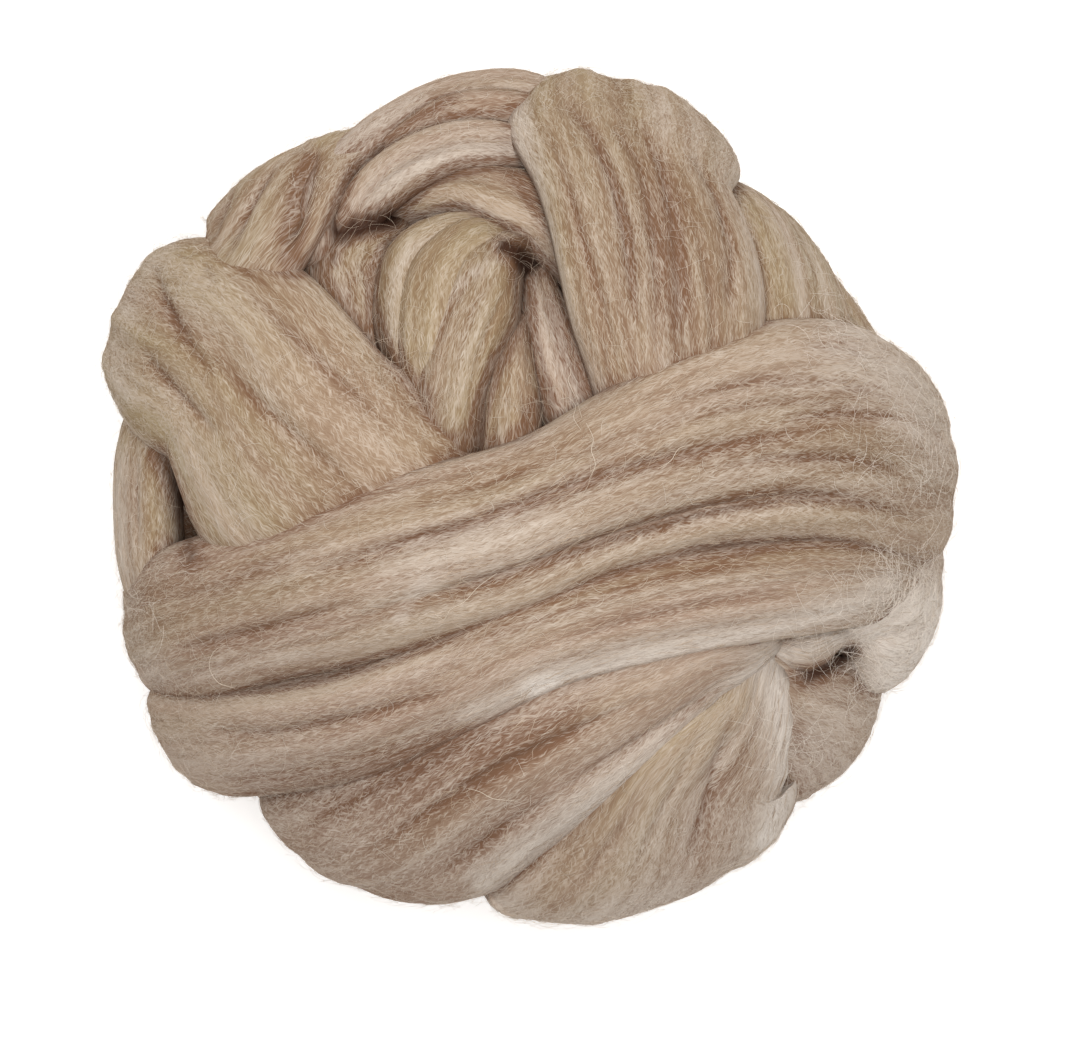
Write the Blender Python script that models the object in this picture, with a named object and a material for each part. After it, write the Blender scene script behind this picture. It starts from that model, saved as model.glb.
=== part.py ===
"""Wool roving wound into a loose ball, as one closed solid.

One continuous band of combed wool, 35 to 50 mm wide, is wound round itself
into a flattened ball. Each pass of the band over the ball is a tube with a
lens-shaped section. It is swept along the sections of a short table, and the
passes are then joined into one body and cut flat where the ball rests.

Units are metres, with +Z up. The ball stands on z = 0 with its middle over the
origin. +Y is the top of the ball as it is seen from straight above.
"""
import math

import bmesh
import bpy
import numpy as np

MM = 0.001

# The ball's envelope, in millimetres. It is an ellipsoid whose lower half
# would reach a little below the floor, so that it rests on a flat spot.
BALL_WIDTH = 180.0
BALL_DEPTH = 182.0
MIDDLE_HEIGHT = 50.0
RISE_ABOVE_MIDDLE = 60.0
DROP_BELOW_MIDDLE = 56.0
MEAN_RADIUS = BALL_WIDTH / 2

# How finely each pass is swept.
SECTION_POINTS = 14
ROW_SPACING = 9.5
EDGE_FULLNESS = 2.3

# The heart of the winding, which no pass leaves open to view.
HEART_RADIUS = 74.0
HEART_RISE = 32.0
HEART_DROP = 46.0

# Each pass is a table with a row for each section along it:
#   around  degrees round the ball from +X towards +Y
#   down    degrees from the top of the ball (90 is its middle, 180 its bottom)
#   sink    millimetres from the envelope in to the middle of the band
#   width   millimetres across the band
#   thick   millimetres through the band
# A ring is a pass that closes on itself. The other passes end inside the ball.

# The widest pass lies over all the others, from the left to the upper right.
BELT = [
    (-158.5, 90, 7.0, 34, 16),
    (-159.0, 65, 9.0, 34, 17),
    (-157.0, 39, 10.0, 37, 18),
    (-151.5, 21, 9.0, 38, 19),
    (-124.0, 7.5, 9.0, 38, 20),
    (-15.0, 5.5, 9.0, 38, 20),
    (16.0, 14, 9.0, 35, 19),
    (18.5, 26, 9.0, 36, 19),
    (17.0, 41, 9.0, 38, 18),
    (13.0, 56, 9.0, 39, 17),
    (8.0, 73, 9.5, 38, 16),
    (5.5, 92, 8.0, 37, 16),
    (4.0, 112, 8.5, 38, 16),
    (2.0, 133, 9.0, 40, 16),
    (-4.0, 155, 9.0, 42, 16),
    (-120.0, 171, 9.0, 42, 16),
    (-155.0, 150, 9.0, 42, 16),
    (-158.0, 130, 9.0, 38, 16),
    (-158.5, 110, 7.5, 35, 16),
]

# A narrow fold along the belt's lower side, on the right half of the ball.
BELT_FOLD = [
    (-128.0, 22, 20.0, 10, 8),
    (-101.0, 15.5, 15.0, 12, 11),
    (-69.0, 14.5, 10.5, 14, 13),
    (-39.0, 17, 9.0, 14, 13),
    (-19.0, 26, 9.0, 14, 13),
    (-9.0, 38, 9.0, 14, 13),
    (-7.0, 49, 8.5, 14, 13),
    (-6.5, 68, 9.5, 14, 12),
    (-7.0, 88, 7.5, 14, 12),
    (-7.0, 106, 13.0, 12, 10),
    (-8.0, 122, 18.0, 10, 8),
]

# The belt's lower edge is a second pass, which runs along it.
LOWER_BELT = [
    (-143.5, 90, 3.5, 28, 14),
    (-139.5, 69, 7.5, 26, 15),
    (-128.5, 45, 7.0, 23, 16),
    (-112.5, 30, 7.0, 19, 16),
    (-82.5, 21.5, 7.0, 18, 15),
    (-46.5, 24.5, 7.0, 18, 15),
    (-26.0, 36, 7.0, 18, 14),
    (-17.5, 51, 8.0, 17, 14),
    (-14.0, 70, 9.5, 16, 13),
    (-12.0, 90, 8.5, 18, 13),
    (-12.0, 110, 8.5, 24, 14),
    (-16.0, 131, 8.5, 30, 14),
    (-38.0, 150, 9.0, 34, 14),
    (-88.0, 155, 9.0, 36, 14),
    (-124.0, 144, 9.0, 36, 14),
    (-136.0, 127, 8.5, 32, 14),
    (-143.0, 109, 5.5, 30, 14),
]

# The left pass comes over the rim at the upper left and goes under the belt.
LEFT_PASS = [
    (159.0, 92, 3.5, 42, 16),
    (157.5, 72, 6.5, 44, 17),
    (158.5, 52, 9.5, 46, 18),
    (173.5, 37, 12.0, 56, 18),
    (-161.5, 26, 18.0, 54, 18),
    (-122.0, 20, 24.0, 44, 16),
    (-81.0, 37, 25.0, 40, 16),
    (-71.0, 58, 25.0, 36, 16),
    (-66.0, 80, 24.0, 34, 15),
    (-62.0, 101, 17.0, 36, 14),
    (-58.0, 121, 12.0, 40, 14),
    (-50.0, 143, 11.0, 42, 14),
    (5.0, 165, 11.0, 42, 14),
    (125.0, 157, 11.0, 42, 14),
    (146.0, 136, 10.0, 42, 14),
    (156.0, 114, 6.5, 42, 15),
]

# The right pass comes over the top rim, fans out, dives under the belt,
# is drawn together where it comes out, and fans out again below.
RIGHT_PASS = [
    (80.0, 89, 8.5, 36, 16),
    (77.5, 70, 9.5, 40, 16),
    (72.0, 54, 9.0, 47, 17),
    (63.5, 41.5, 9.0, 50, 18),
    (51.5, 32, 11.0, 49, 18),
    (30.0, 23.5, 17.0, 42, 18),
    (-2.5, 25, 24.0, 36, 16),
    (-26.0, 36, 22.0, 24, 15),
    (-32.5, 48, 15.0, 13, 14),
    (-41.5, 52.5, 11.0, 20, 14),
    (-51.5, 56.5, 9.0, 38, 15),
    (-63.5, 71, 9.0, 57, 16),
    (-70.5, 90, 7.5, 60, 16),
    (-76.0, 110, 8.5, 50, 15),
    (-82.0, 131, 9.0, 48, 15),
    (-98.0, 154, 9.0, 46, 15),
    (150.0, 172, 10.0, 46, 15),
    (98.0, 152, 9.0, 46, 15),
    (86.0, 131, 8.5, 44, 15),
    (82.0, 110, 8.5, 40, 15),
]

# The lower pass starts at the same pinch, lies over the right pass and
# leaves over the lower left rim. It comes back under the ball to the right.
LOWER_PASS = [
    (-32.0, 49, 15.0, 10, 12),
    (-45.0, 40, 11.0, 19, 13),
    (-71.0, 35, 9.0, 32, 16),
    (-95.5, 44, 8.5, 39, 17),
    (-109.0, 66, 9.0, 45, 17),
    (-116.0, 88, 7.5, 47, 16),
    (-118.0, 109, 8.0, 46, 15),
    (-118.0, 130, 9.0, 42, 14),
    (-100.0, 152, 10.0, 38, 14),
    (-35.0, 162, 10.0, 34, 14),
    (4.0, 143, 10.0, 32, 14),
    (3.0, 121, 10.0, 31, 14),
    (-9.0, 105, 9.0, 31, 15),
    (-17.5, 90, 7.5, 31, 15),
    (-21.0, 74, 8.5, 29, 15),
    (-26.0, 60, 11.0, 21, 14),
]

# A ring under the others shows at the rim: at the upper left, the left and
# the lower right.
RIM_RING = [
    (120.0, 78, 11.0, 34, 14),
    (135.0, 74, 8.0, 42, 15),
    (154.5, 77, 11.5, 46, 15),
    (173.0, 78, 9.5, 50, 15),
    (-169.0, 81, 9.0, 48, 15),
    (-150.0, 93, 10.5, 34, 14),
    (-126.0, 101, 11.0, 32, 14),
    (-106.0, 104, 11.5, 32, 14),
    (-86.0, 104, 12.0, 32, 14),
    (-66.0, 98, 12.0, 32, 14),
    (-50.0, 86, 10.5, 36, 14),
    (-37.0, 79, 9.5, 38, 14),
    (-25.0, 86, 9.5, 32, 14),
    (-8.0, 98, 11.5, 30, 14),
    (16.0, 99, 15.0, 30, 14),
    (42.0, 99, 26.0, 30, 14),
    (70.0, 99, 15.0, 29, 14),
    (97.0, 93, 12.0, 28, 14),
]

# A ring of the band lies low under the outer passes and closes the gaps
# between them all round the lower half.
LOW_RING = [
    (0.0, 120, 13.0, 46, 15),
    (45.0, 122, 20.0, 46, 15),
    (90.0, 120, 13.0, 46, 15),
    (135.0, 121, 13.5, 46, 15),
    (180.0, 119, 12.5, 46, 15),
    (-135.0, 121, 13.5, 46, 15),
    (-90.0, 120, 13.0, 46, 15),
    (-45.0, 122, 14.0, 46, 15),
]

# A smaller ring behind the right pass shows between it and the upper right rim.
RIGHT_RING = [
    (57.0, 90, 19.0, 26, 14),
    (49.0, 78, 20.0, 29, 14),
    (40.0, 67, 19.0, 31, 14),
    (30.0, 60, 17.0, 32, 14),
    (14.0, 60, 20.0, 32, 14),
    (-3.0, 63, 23.0, 32, 13),
    (-20.0, 68, 23.0, 30, 13),
    (-35.0, 74, 21.0, 30, 13),
    (-45.0, 90, 15.0, 32, 14),
    (-46.0, 108, 10.0, 34, 14),
    (-36.0, 126, 9.5, 36, 14),
    (-8.0, 140, 9.5, 38, 14),
    (30.0, 142, 9.5, 38, 14),
    (52.0, 128, 11.0, 36, 14),
    (58.0, 109, 15.0, 30, 14),
]

# The upper left loop comes out of a hollow, runs round the rim and joins
# the right pass.
RIM_LOOP = [
    (134.0, 87, 23.5, 13, 11),
    (131.0, 78, 17.5, 17, 13),
    (127.5, 75, 12.5, 17, 13),
    (122.0, 75, 8.5, 16, 12),
    (115.5, 76, 6.5, 16, 12),
    (107.5, 77, 5.5, 16, 12),
    (100.5, 78, 5.5, 16, 12),
    (93.5, 79, 6.5, 17, 12),
    (86.0, 82, 9.5, 18, 12),
]

# A second loop lies inside the first one.
INNER_LOOP = [
    (128.0, 84, 25.0, 8, 8),
    (122.5, 76, 19.0, 12, 11),
    (115.5, 70.5, 16.0, 14, 12),
    (107.5, 68, 13.5, 14, 12),
    (100.0, 67, 12.0, 13, 12),
    (92.5, 69, 14.0, 12, 12),
    (85.0, 75, 19.0, 10, 10),
]

# A thin wedge of the band lies between the two loops.
WEDGE = [
    (112.0, 79, 11.5, 5, 7),
    (104.5, 75, 8.5, 8, 9),
    (98.0, 74, 7.5, 9, 9),
    (91.0, 76, 9.5, 8, 9),
    (84.0, 79, 13.0, 6, 8),
]

# Fibres that run from the inner loop down into the middle hollow.
HOLLOW_BACK = [
    (121.0, 83, 25.0, 8, 8),
    (112.5, 74, 23.0, 10, 10),
    (102.5, 67.5, 22.0, 14, 12),
    (93.0, 61.5, 23.0, 18, 13),
    (82.5, 57.5, 26.0, 19, 13),
    (70.0, 53, 32.0, 18, 12),
]

# The knot curls up out of the middle hollow and runs down under the belt.
KNOT = [
    (87.0, 66, 42.0, 7, 8),
    (93.0, 57.5, 33.5, 10, 11),
    (97.5, 50, 24.5, 15, 14),
    (103.0, 46, 19.0, 20, 17),
    (109.0, 41.5, 18.0, 23, 19),
    (115.0, 35, 20.0, 26, 20),
    (120.5, 27.5, 22.5, 26, 20),
    (127.5, 20, 27.0, 24, 20),
    (138.0, 12, 34.0, 21, 18),
]

# Its left neighbour comes out of the upper hollow beside it.
KNOT_LEFT = [
    (116.5, 81, 29.5, 8, 8),
    (120.0, 68, 25.5, 12, 11),
    (126.0, 63, 21.0, 20, 14),
    (132.5, 57, 20.5, 23, 16),
    (137.5, 50, 24.5, 20, 16),
    (144.5, 45.5, 30.0, 20, 16),
    (151.5, 40, 37.0, 20, 16),
]

# Two slim strands lie low between the knot and the right pass.
KNOT_RIGHT = [
    (91.0, 73, 40.0, 7, 8),
    (89.5, 50, 32.0, 13, 12),
    (83.0, 33, 28.5, 17, 14),
    (68.0, 21, 28.0, 19, 14),
    (38.0, 14.5, 31.0, 19, 14),
]
KNOT_FOOT = [
    (99.0, 37.5, 35.0, 9, 10),
    (105.0, 24, 30.5, 15, 13),
    (110.0, 13.5, 31.0, 19, 14),
    (140.0, 3.5, 35.0, 17, 13),
]

RINGS = [
    BELT,
    LOWER_BELT,
    LEFT_PASS,
    RIGHT_PASS,
    RIM_RING,
    LOW_RING,
    RIGHT_RING,
]
OPEN_PASSES = [
    BELT_FOLD,
    LOWER_PASS,
    RIM_LOOP,
    INNER_LOOP,
    WEDGE,
    HOLLOW_BACK,
    KNOT,
    KNOT_LEFT,
    KNOT_RIGHT,
    KNOT_FOOT,
]

WOOL_COLOUR = (0.50, 0.39, 0.28, 1.0)


def clear_scene():
    """Remove every object that the scene starts with."""
    for item in list(bpy.data.objects):
        bpy.data.objects.remove(item, do_unlink=True)


def half_axes(points):
    """Give the envelope's half axes for points: the lower half is shallower."""
    axes = np.empty_like(points)
    axes[:, 0] = BALL_WIDTH / 2
    axes[:, 1] = BALL_DEPTH / 2
    axes[:, 2] = np.where(points[:, 2] > 0, RISE_ABOVE_MIDDLE, DROP_BELOW_MIDDLE)
    return axes


def ball_points(table):
    """Turn around, down and sink into points, measured from the ball's middle."""
    around = np.radians(table[:, 0])
    down = np.radians(table[:, 1])
    shrink = 1 - table[:, 2] / MEAN_RADIUS
    sphere = np.column_stack([
        np.cos(around) * np.sin(down),
        np.sin(around) * np.sin(down),
        np.cos(down),
    ])
    return sphere * half_axes(sphere) * shrink[:, None]


def smooth_rows(rows, closed):
    """Resample rows with a Catmull-Rom curve, at an even spacing along it."""
    if closed:
        padded = np.vstack([rows[-1:], rows, rows[:2]])
    else:
        before = 2 * rows[:1] - rows[1:2]
        after = 2 * rows[-1:] - rows[-2:-1]
        padded = np.vstack([before, rows, after])
    fine = []
    for step in range(len(padded) - 3):
        p0, p1, p2, p3 = padded[step:step + 4]
        for t in np.arange(0, 1, 0.05):
            fine.append(0.5 * (
                2 * p1
                + (p2 - p0) * t
                + (2 * p0 - 5 * p1 + 4 * p2 - p3) * t ** 2
                + (3 * p1 - p0 - 3 * p2 + p3) * t ** 3
            ))
    fine.append(padded[-2])
    fine = np.array(fine)
    steps = np.linalg.norm(np.diff(fine[:, :3], axis=0), axis=1)
    along = np.concatenate([[0], np.cumsum(steps)])
    count = max(4, int(round(along[-1] / ROW_SPACING)))
    marks = np.linspace(0, along[-1], count + 1)
    if closed:
        marks = marks[:-1]
    columns = [np.interp(marks, along, column) for column in fine.T]
    return np.column_stack(columns)


def unit(vectors):
    """Scale each vector to length one."""
    return vectors / np.linalg.norm(vectors, axis=-1, keepdims=True)


def sweep(table, closed):
    """Sweep the lens section along a pass and give its vertices and faces."""
    table = np.array(table, dtype=float)
    rows = np.column_stack([ball_points(table), table[:, 3:]])
    rows = smooth_rows(rows, closed)
    middle = rows[:, :3]
    if closed:
        tangent = np.roll(middle, -1, axis=0) - np.roll(middle, 1, axis=0)
    else:
        tangent = np.gradient(middle, axis=0)
    tangent = unit(tangent)
    outward = unit(middle / half_axes(middle) ** 2)
    across = unit(np.cross(tangent, outward))
    lift = np.cross(across, tangent)

    # The section is a flattened round, bent to lie on the ball.
    turn = np.arange(SECTION_POINTS) * 2 * math.pi / SECTION_POINTS
    power = 2 / EDGE_FULLNESS
    flat = np.sign(np.cos(turn)) * np.abs(np.cos(turn)) ** power
    high = np.sign(np.sin(turn)) * np.abs(np.sin(turn)) ** power
    u = flat[None, :] * rows[:, 3:4] / 2
    v = high[None, :] * rows[:, 4:5] / 2 - u ** 2 / (2 * MEAN_RADIUS)
    points = (
        middle[:, None, :]
        + u[:, :, None] * across[:, None, :]
        + v[:, :, None] * lift[:, None, :]
    )
    count = len(rows)
    verts = points.reshape(-1, 3)
    verts[:, 2] += MIDDLE_HEIGHT

    faces = []
    last = count if closed else count - 1
    for row in range(last):
        below = row * SECTION_POINTS
        above = ((row + 1) % count) * SECTION_POINTS
        for column in range(SECTION_POINTS):
            other = (column + 1) % SECTION_POINTS
            faces.append((below + column, below + other, above + other, above + column))
    if not closed:
        end = (count - 1) * SECTION_POINTS
        faces.append(tuple(range(SECTION_POINTS - 1, -1, -1)))
        faces.append(tuple(range(end, end + SECTION_POINTS)))
    return verts * MM, faces


def add_object(name, verts, faces):
    """Make a mesh object whose faces all point outward."""
    mesh = bpy.data.meshes.new(name)
    mesh.from_pydata(verts.tolist(), [], faces)
    work = bmesh.new()
    work.from_mesh(mesh)
    bmesh.ops.recalc_face_normals(work, faces=work.faces)
    bmesh.ops.triangulate(work, faces=work.faces)
    work.to_mesh(mesh)
    work.free()
    item = bpy.data.objects.new(name, mesh)
    bpy.context.scene.collection.objects.link(item)
    return item


def add_heart():
    """Make the ellipsoid of wool that the passes are wound on."""
    work = bmesh.new()
    bmesh.ops.create_icosphere(work, subdivisions=3, radius=1.0)
    for vert in work.verts:
        vert.co.x *= HEART_RADIUS * MM
        vert.co.y *= HEART_RADIUS * MM
        reach = HEART_RISE if vert.co.z > 0 else HEART_DROP
        vert.co.z = (vert.co.z * reach + MIDDLE_HEIGHT) * MM
    mesh = bpy.data.meshes.new("heart")
    work.to_mesh(mesh)
    work.free()
    item = bpy.data.objects.new("heart", mesh)
    bpy.context.scene.collection.objects.link(item)
    return item


def add_floor_cutter():
    """Make the block that trims everything below the floor."""
    work = bmesh.new()
    bmesh.ops.create_cube(work, size=1.0)
    for vert in work.verts:
        vert.co.x *= 300 * MM
        vert.co.y *= 300 * MM
        vert.co.z = (vert.co.z - 0.5) * 60 * MM
    mesh = bpy.data.meshes.new("floor_cutter")
    work.to_mesh(mesh)
    work.free()
    item = bpy.data.objects.new("floor_cutter", mesh)
    bpy.context.scene.collection.objects.link(item)
    return item


def combine(body, other, operation):
    """Apply one Boolean to the body's mesh and remove the other object."""
    modifier = body.modifiers.new(operation.lower(), "BOOLEAN")
    modifier.operation = operation
    modifier.solver = "MANIFOLD"
    modifier.object = other
    graph = bpy.context.evaluated_depsgraph_get()
    mesh = bpy.data.meshes.new_from_object(body.evaluated_get(graph))
    body.modifiers.clear()
    body.data = mesh
    bpy.data.objects.remove(other, do_unlink=True)


def keep_outer_skin(body):
    """Drop the closed pockets left between passes, so that one body remains."""
    work = bmesh.new()
    work.from_mesh(body.data)
    bmesh.ops.triangulate(work, faces=work.faces)
    work.verts.ensure_lookup_table()
    seen = set()
    groups = []
    for start in work.verts:
        if start.index in seen:
            continue
        seen.add(start.index)
        group = [start]
        for vert in group:
            for edge in vert.link_edges:
                other = edge.other_vert(vert)
                if other.index not in seen:
                    seen.add(other.index)
                    group.append(other)
        groups.append(group)
    groups.sort(key=len)
    for group in groups[:-1]:
        bmesh.ops.delete(work, geom=group, context="VERTS")
    bmesh.ops.recalc_face_normals(work, faces=work.faces)
    work.to_mesh(body.data)
    work.free()


def add_material(body):
    """Give the wool its plain colour."""
    material = bpy.data.materials.new("natural_wool")
    material.use_nodes = True
    shader = material.node_tree.nodes["Principled BSDF"]
    shader.inputs["Base Color"].default_value = WOOL_COLOUR
    shader.inputs["Roughness"].default_value = 0.95
    body.data.materials.clear()
    body.data.materials.append(material)


def main():
    clear_scene()
    body = add_heart()
    for table in RINGS:
        verts, faces = sweep(table, closed=True)
        combine(body, add_object("pass", verts, faces), "UNION")
    for table in OPEN_PASSES:
        verts, faces = sweep(table, closed=False)
        combine(body, add_object("pass", verts, faces), "UNION")
    combine(body, add_floor_cutter(), "DIFFERENCE")
    keep_outer_skin(body)
    body.name = "wound_roving"
    body.data.name = "wound_roving"
    add_material(body)
    for polygon in body.data.polygons:
        polygon.use_smooth = True


main()
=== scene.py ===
# %% [markdown]
# # A wound ball of combed wool
#
# The object is a loose ball of wool roving: one soft, flat band of combed
# fibres, wound round itself. This lesson dresses its plain solid with a fine
# surface for each pass of the band, with creases and loose fibres, and lights
# it like a flat lay on a white table.
#
# We start with the packed model, which is the frame that every piece fits.

# %% Load the frame
import math

import bmesh
import bpy
import numpy as np
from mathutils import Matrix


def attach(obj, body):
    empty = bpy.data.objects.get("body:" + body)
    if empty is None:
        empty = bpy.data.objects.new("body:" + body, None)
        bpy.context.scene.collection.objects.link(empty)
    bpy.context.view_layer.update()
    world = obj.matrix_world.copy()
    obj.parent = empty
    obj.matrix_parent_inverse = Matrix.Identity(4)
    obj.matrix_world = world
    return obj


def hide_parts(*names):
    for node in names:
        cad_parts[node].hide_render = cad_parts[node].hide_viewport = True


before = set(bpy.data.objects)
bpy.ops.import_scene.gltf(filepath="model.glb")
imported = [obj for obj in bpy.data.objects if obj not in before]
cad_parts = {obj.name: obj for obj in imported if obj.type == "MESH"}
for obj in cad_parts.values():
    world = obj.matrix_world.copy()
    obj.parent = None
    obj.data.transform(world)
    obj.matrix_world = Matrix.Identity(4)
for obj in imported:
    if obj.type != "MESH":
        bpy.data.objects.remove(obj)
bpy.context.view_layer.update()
MM = 0.001

# %% [markdown]
# ## The camera
#
# The photograph looks straight down on the ball, with the top of the picture
# towards +Y. A long lens 0.9 m away keeps the outline nearly flat. A pixel of
# the photograph then has a place on the ball, once its height is known, so
# a crease that is read off the picture can be given in pixels.

# %% Camera
PHOTO_WIDTH, PHOTO_HEIGHT = 1076, 1042
CAMERA_SPOT = (1.5, -5.5, 900.0)
LENS, SENSOR = 135.0, 36.0
TOP_OF_BALL = 110.0

camera_data = bpy.data.cameras.new("camera")
camera_data.lens = LENS
camera_data.sensor_width = SENSOR
camera_data.clip_start = 0.01
camera = bpy.data.objects.new("camera", camera_data)
camera.location = [value * MM for value in CAMERA_SPOT]
bpy.context.scene.collection.objects.link(camera)
bpy.context.scene.camera = camera


def pixels_per_mm(height):
    """Lens over sensor times the picture's width, over the camera's distance."""
    return LENS / SENSOR * PHOTO_WIDTH / (CAMERA_SPOT[2] - height)


def on_ball_plan(pixels, height):
    """Plan position in mm of pixels at a height: offset from the picture's
    middle, divided by the pixels per mm there, plus the camera's place."""
    pixels = np.array(pixels, dtype=float)
    scale = pixels_per_mm(height)
    x = (pixels[:, 0] - PHOTO_WIDTH / 2) / scale + CAMERA_SPOT[0]
    y = (PHOTO_HEIGHT / 2 - pixels[:, 1]) / scale + CAMERA_SPOT[1]
    return np.column_stack([x, y])


print("pixels per mm at the top of the ball:", round(pixels_per_mm(TOP_OF_BALL), 2))

# %% [markdown]
# ## Table and light
#
# The picture was taken on a bright white table with no hard shadow. A big
# pale plane stands for the table. A broad lamp from the top of the picture
# and one overhead model the folds, and an even sky fills the rest. The table
# glows faintly, as a light table does, which keeps the shadows on it pale.

# %% Floor and lights
FLOOR_SIZE = 3.0
TABLE_GLOW = 0.42
SKY_STRENGTH = 0.42
LAMP_AIM = (0.0, 0.0, 0.05)


def plain_material(name, colour, roughness):
    """A material of one colour and roughness."""
    material = bpy.data.materials.new(name)
    material.use_nodes = True
    shader = material.node_tree.nodes["Principled BSDF"]
    shader.inputs["Base Color"].default_value = (*colour, 1.0)
    shader.inputs["Roughness"].default_value = roughness
    return material


half = FLOOR_SIZE / 2
floor_mesh = bpy.data.meshes.new("floor")
floor_mesh.from_pydata(
    [(-half, -half, 0), (half, -half, 0), (half, half, 0), (-half, half, 0)],
    [],
    [(0, 1, 2, 3)],
)
floor = bpy.data.objects.new("floor", floor_mesh)
bpy.context.scene.collection.objects.link(floor)
white_table = plain_material("white_table", (0.90, 0.90, 0.90), 0.9)
table_shader = white_table.node_tree.nodes["Principled BSDF"]
table_shader.inputs["Emission Color"].default_value = (0.98, 0.99, 1.0, 1.0)
table_shader.inputs["Emission Strength"].default_value = TABLE_GLOW
floor_mesh.materials.append(white_table)

world = bpy.data.worlds.new("sky")
world.use_nodes = True
sky = world.node_tree.nodes["Background"]
sky.inputs["Color"].default_value = (1.0, 0.975, 0.94, 1.0)
sky.inputs["Strength"].default_value = SKY_STRENGTH
bpy.context.scene.world = world

# Each lamp: name, place in metres, size in metres, watts, colour.
LAMPS = [
    ("top_of_picture", (-0.15, 0.75, 0.70), 0.40, 2.5, (1.0, 0.965, 0.91)),
    ("overhead", (0.03, 0.0, 0.78), 0.30, 3.8, (1.0, 0.98, 0.955)),
]
for name, place, size, power, colour in LAMPS:
    lamp_data = bpy.data.lights.new(name, "AREA")
    lamp_data.size = size
    lamp_data.energy = power
    lamp_data.color = colour
    lamp = bpy.data.objects.new(name, lamp_data)
    lamp.location = place
    aim = np.array(LAMP_AIM) - np.array(place)
    tilt = math.atan2(math.hypot(aim[0], aim[1]), -aim[2])
    lamp.rotation_euler = (tilt, 0.0, math.atan2(aim[1], aim[0]) - math.pi / 2)
    bpy.context.scene.collection.objects.link(lamp)
bpy.context.scene.view_settings.view_transform = "Standard"
print("lamps:", [lamp[0] for lamp in LAMPS])

# %% [markdown]
# ## The passes of the band
#
# A ball is one long band, but the eye reads it as passes that lie over and
# under each other. A real spline could carry each one, but its points would
# be hard to read. Here a pass is a short table with a row for each section:
# degrees round the ball from +X, degrees down from its top, millimetres from
# the ball's envelope in to the band's middle, width and thickness.
# A ring closes on itself. The other passes end inside the ball.

# %% The ball's envelope
BALL_WIDTH, BALL_DEPTH = 180.0, 182.0
MIDDLE_HEIGHT = 50.0
RISE_ABOVE_MIDDLE, DROP_BELOW_MIDDLE = 60.0, 56.0
MEAN_RADIUS = BALL_WIDTH / 2
EDGE_FULLNESS = 2.3


def half_axes(points):
    """The envelope's half axes for points about its middle. It is an
    ellipsoid whose lower half is shallower than its upper half."""
    axes = np.empty_like(points)
    axes[..., 0] = BALL_WIDTH / 2
    axes[..., 1] = BALL_DEPTH / 2
    axes[..., 2] = np.where(points[..., 2] > 0, RISE_ABOVE_MIDDLE, DROP_BELOW_MIDDLE)
    return axes


def ball_points(table):
    """Points about the ball's middle: the direction (cos a sin d, sin a sin d,
    cos d) times the half axes, times 1 - sink / mean radius."""
    around, down = np.radians(table[:, 0]), np.radians(table[:, 1])
    direction = np.column_stack([
        np.cos(around) * np.sin(down),
        np.sin(around) * np.sin(down),
        np.cos(down),
    ])
    return direction * half_axes(direction) * (1 - table[:, 2:3] / MEAN_RADIUS)


print("envelope, mm:", BALL_WIDTH, BALL_DEPTH, RISE_ABOVE_MIDDLE + DROP_BELOW_MIDDLE)

# %% [markdown]
# ## Belt and lower belt
#
# The last turns of the band lie on top of everything. The belt crosses the
# whole ball from the left, a little below its middle, and the lower belt lies
# along its lower edge. Both are rings, so both run on underneath.

# %% Belts
# degrees round, degrees down, sink, width, thickness
BELT = [
    (-120, 171, 9, 42, 16),
    (-155, 150, 9, 42, 16),
    (-158, 130, 9, 38, 16),
    (-158.5, 110, 7.5, 35, 16),
    (-158.5, 90, 7, 34, 16),
    (-159, 65, 9, 34, 17),
    (-157, 39, 10, 36, 18),
    (-151.1, 21, 9, 37, 19),
    (-122.4, 7.7, 9, 37, 20),
    (-22.3, 6.1, 9, 35, 20),
    (6.5, 15, 9, 38, 19),
    (12.1, 26.3, 9, 43.5, 19),
    (12.3, 40.7, 9, 47, 18),
    (10.1, 55.1, 9, 49, 17),
    (6.2, 73, 9.3, 48, 16),
    (4.4, 92, 7.6, 46, 16),
    (3.7, 112, 8.5, 42, 16),
    (2, 133, 9, 41, 16),
    (-4, 155, 9, 42, 16),
]
LOWER_BELT = [
    (-88, 155, 9, 36, 14),
    (-124, 144, 9, 36, 14),
    (-136, 127, 8.5, 32, 14),
    (-143, 109, 5.5, 30, 14),
    (-144.2, 90, 3.2, 30, 14),
    (-139.5, 69, 7.5, 26, 15),
    (-128.5, 45, 7, 23, 16),
    (-112.8, 29.4, 7.2, 22, 16),
    (-83.3, 20, 7.3, 22, 16),
    (-44.2, 23.1, 7.3, 23, 16),
    (-24.1, 35.2, 7.5, 22, 15),
    (-16.4, 50.8, 8.3, 20, 14),
    (-13.5, 69.8, 10.2, 18, 13),
    (-12, 90, 11, 18, 13),
    (-12, 110, 12.5, 24, 14),
    (-16, 131, 11, 30, 14),
    (-38, 150, 9, 34, 14),
]
print("rows in the belts:", len(BELT), len(LOWER_BELT))

# %% [markdown]
# ## The two crossing passes
#
# The left pass comes over the upper left shoulder and dives under the belt.
# The right pass does the same from the upper right, and comes out again at
# the lower right as a wide fan.

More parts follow.
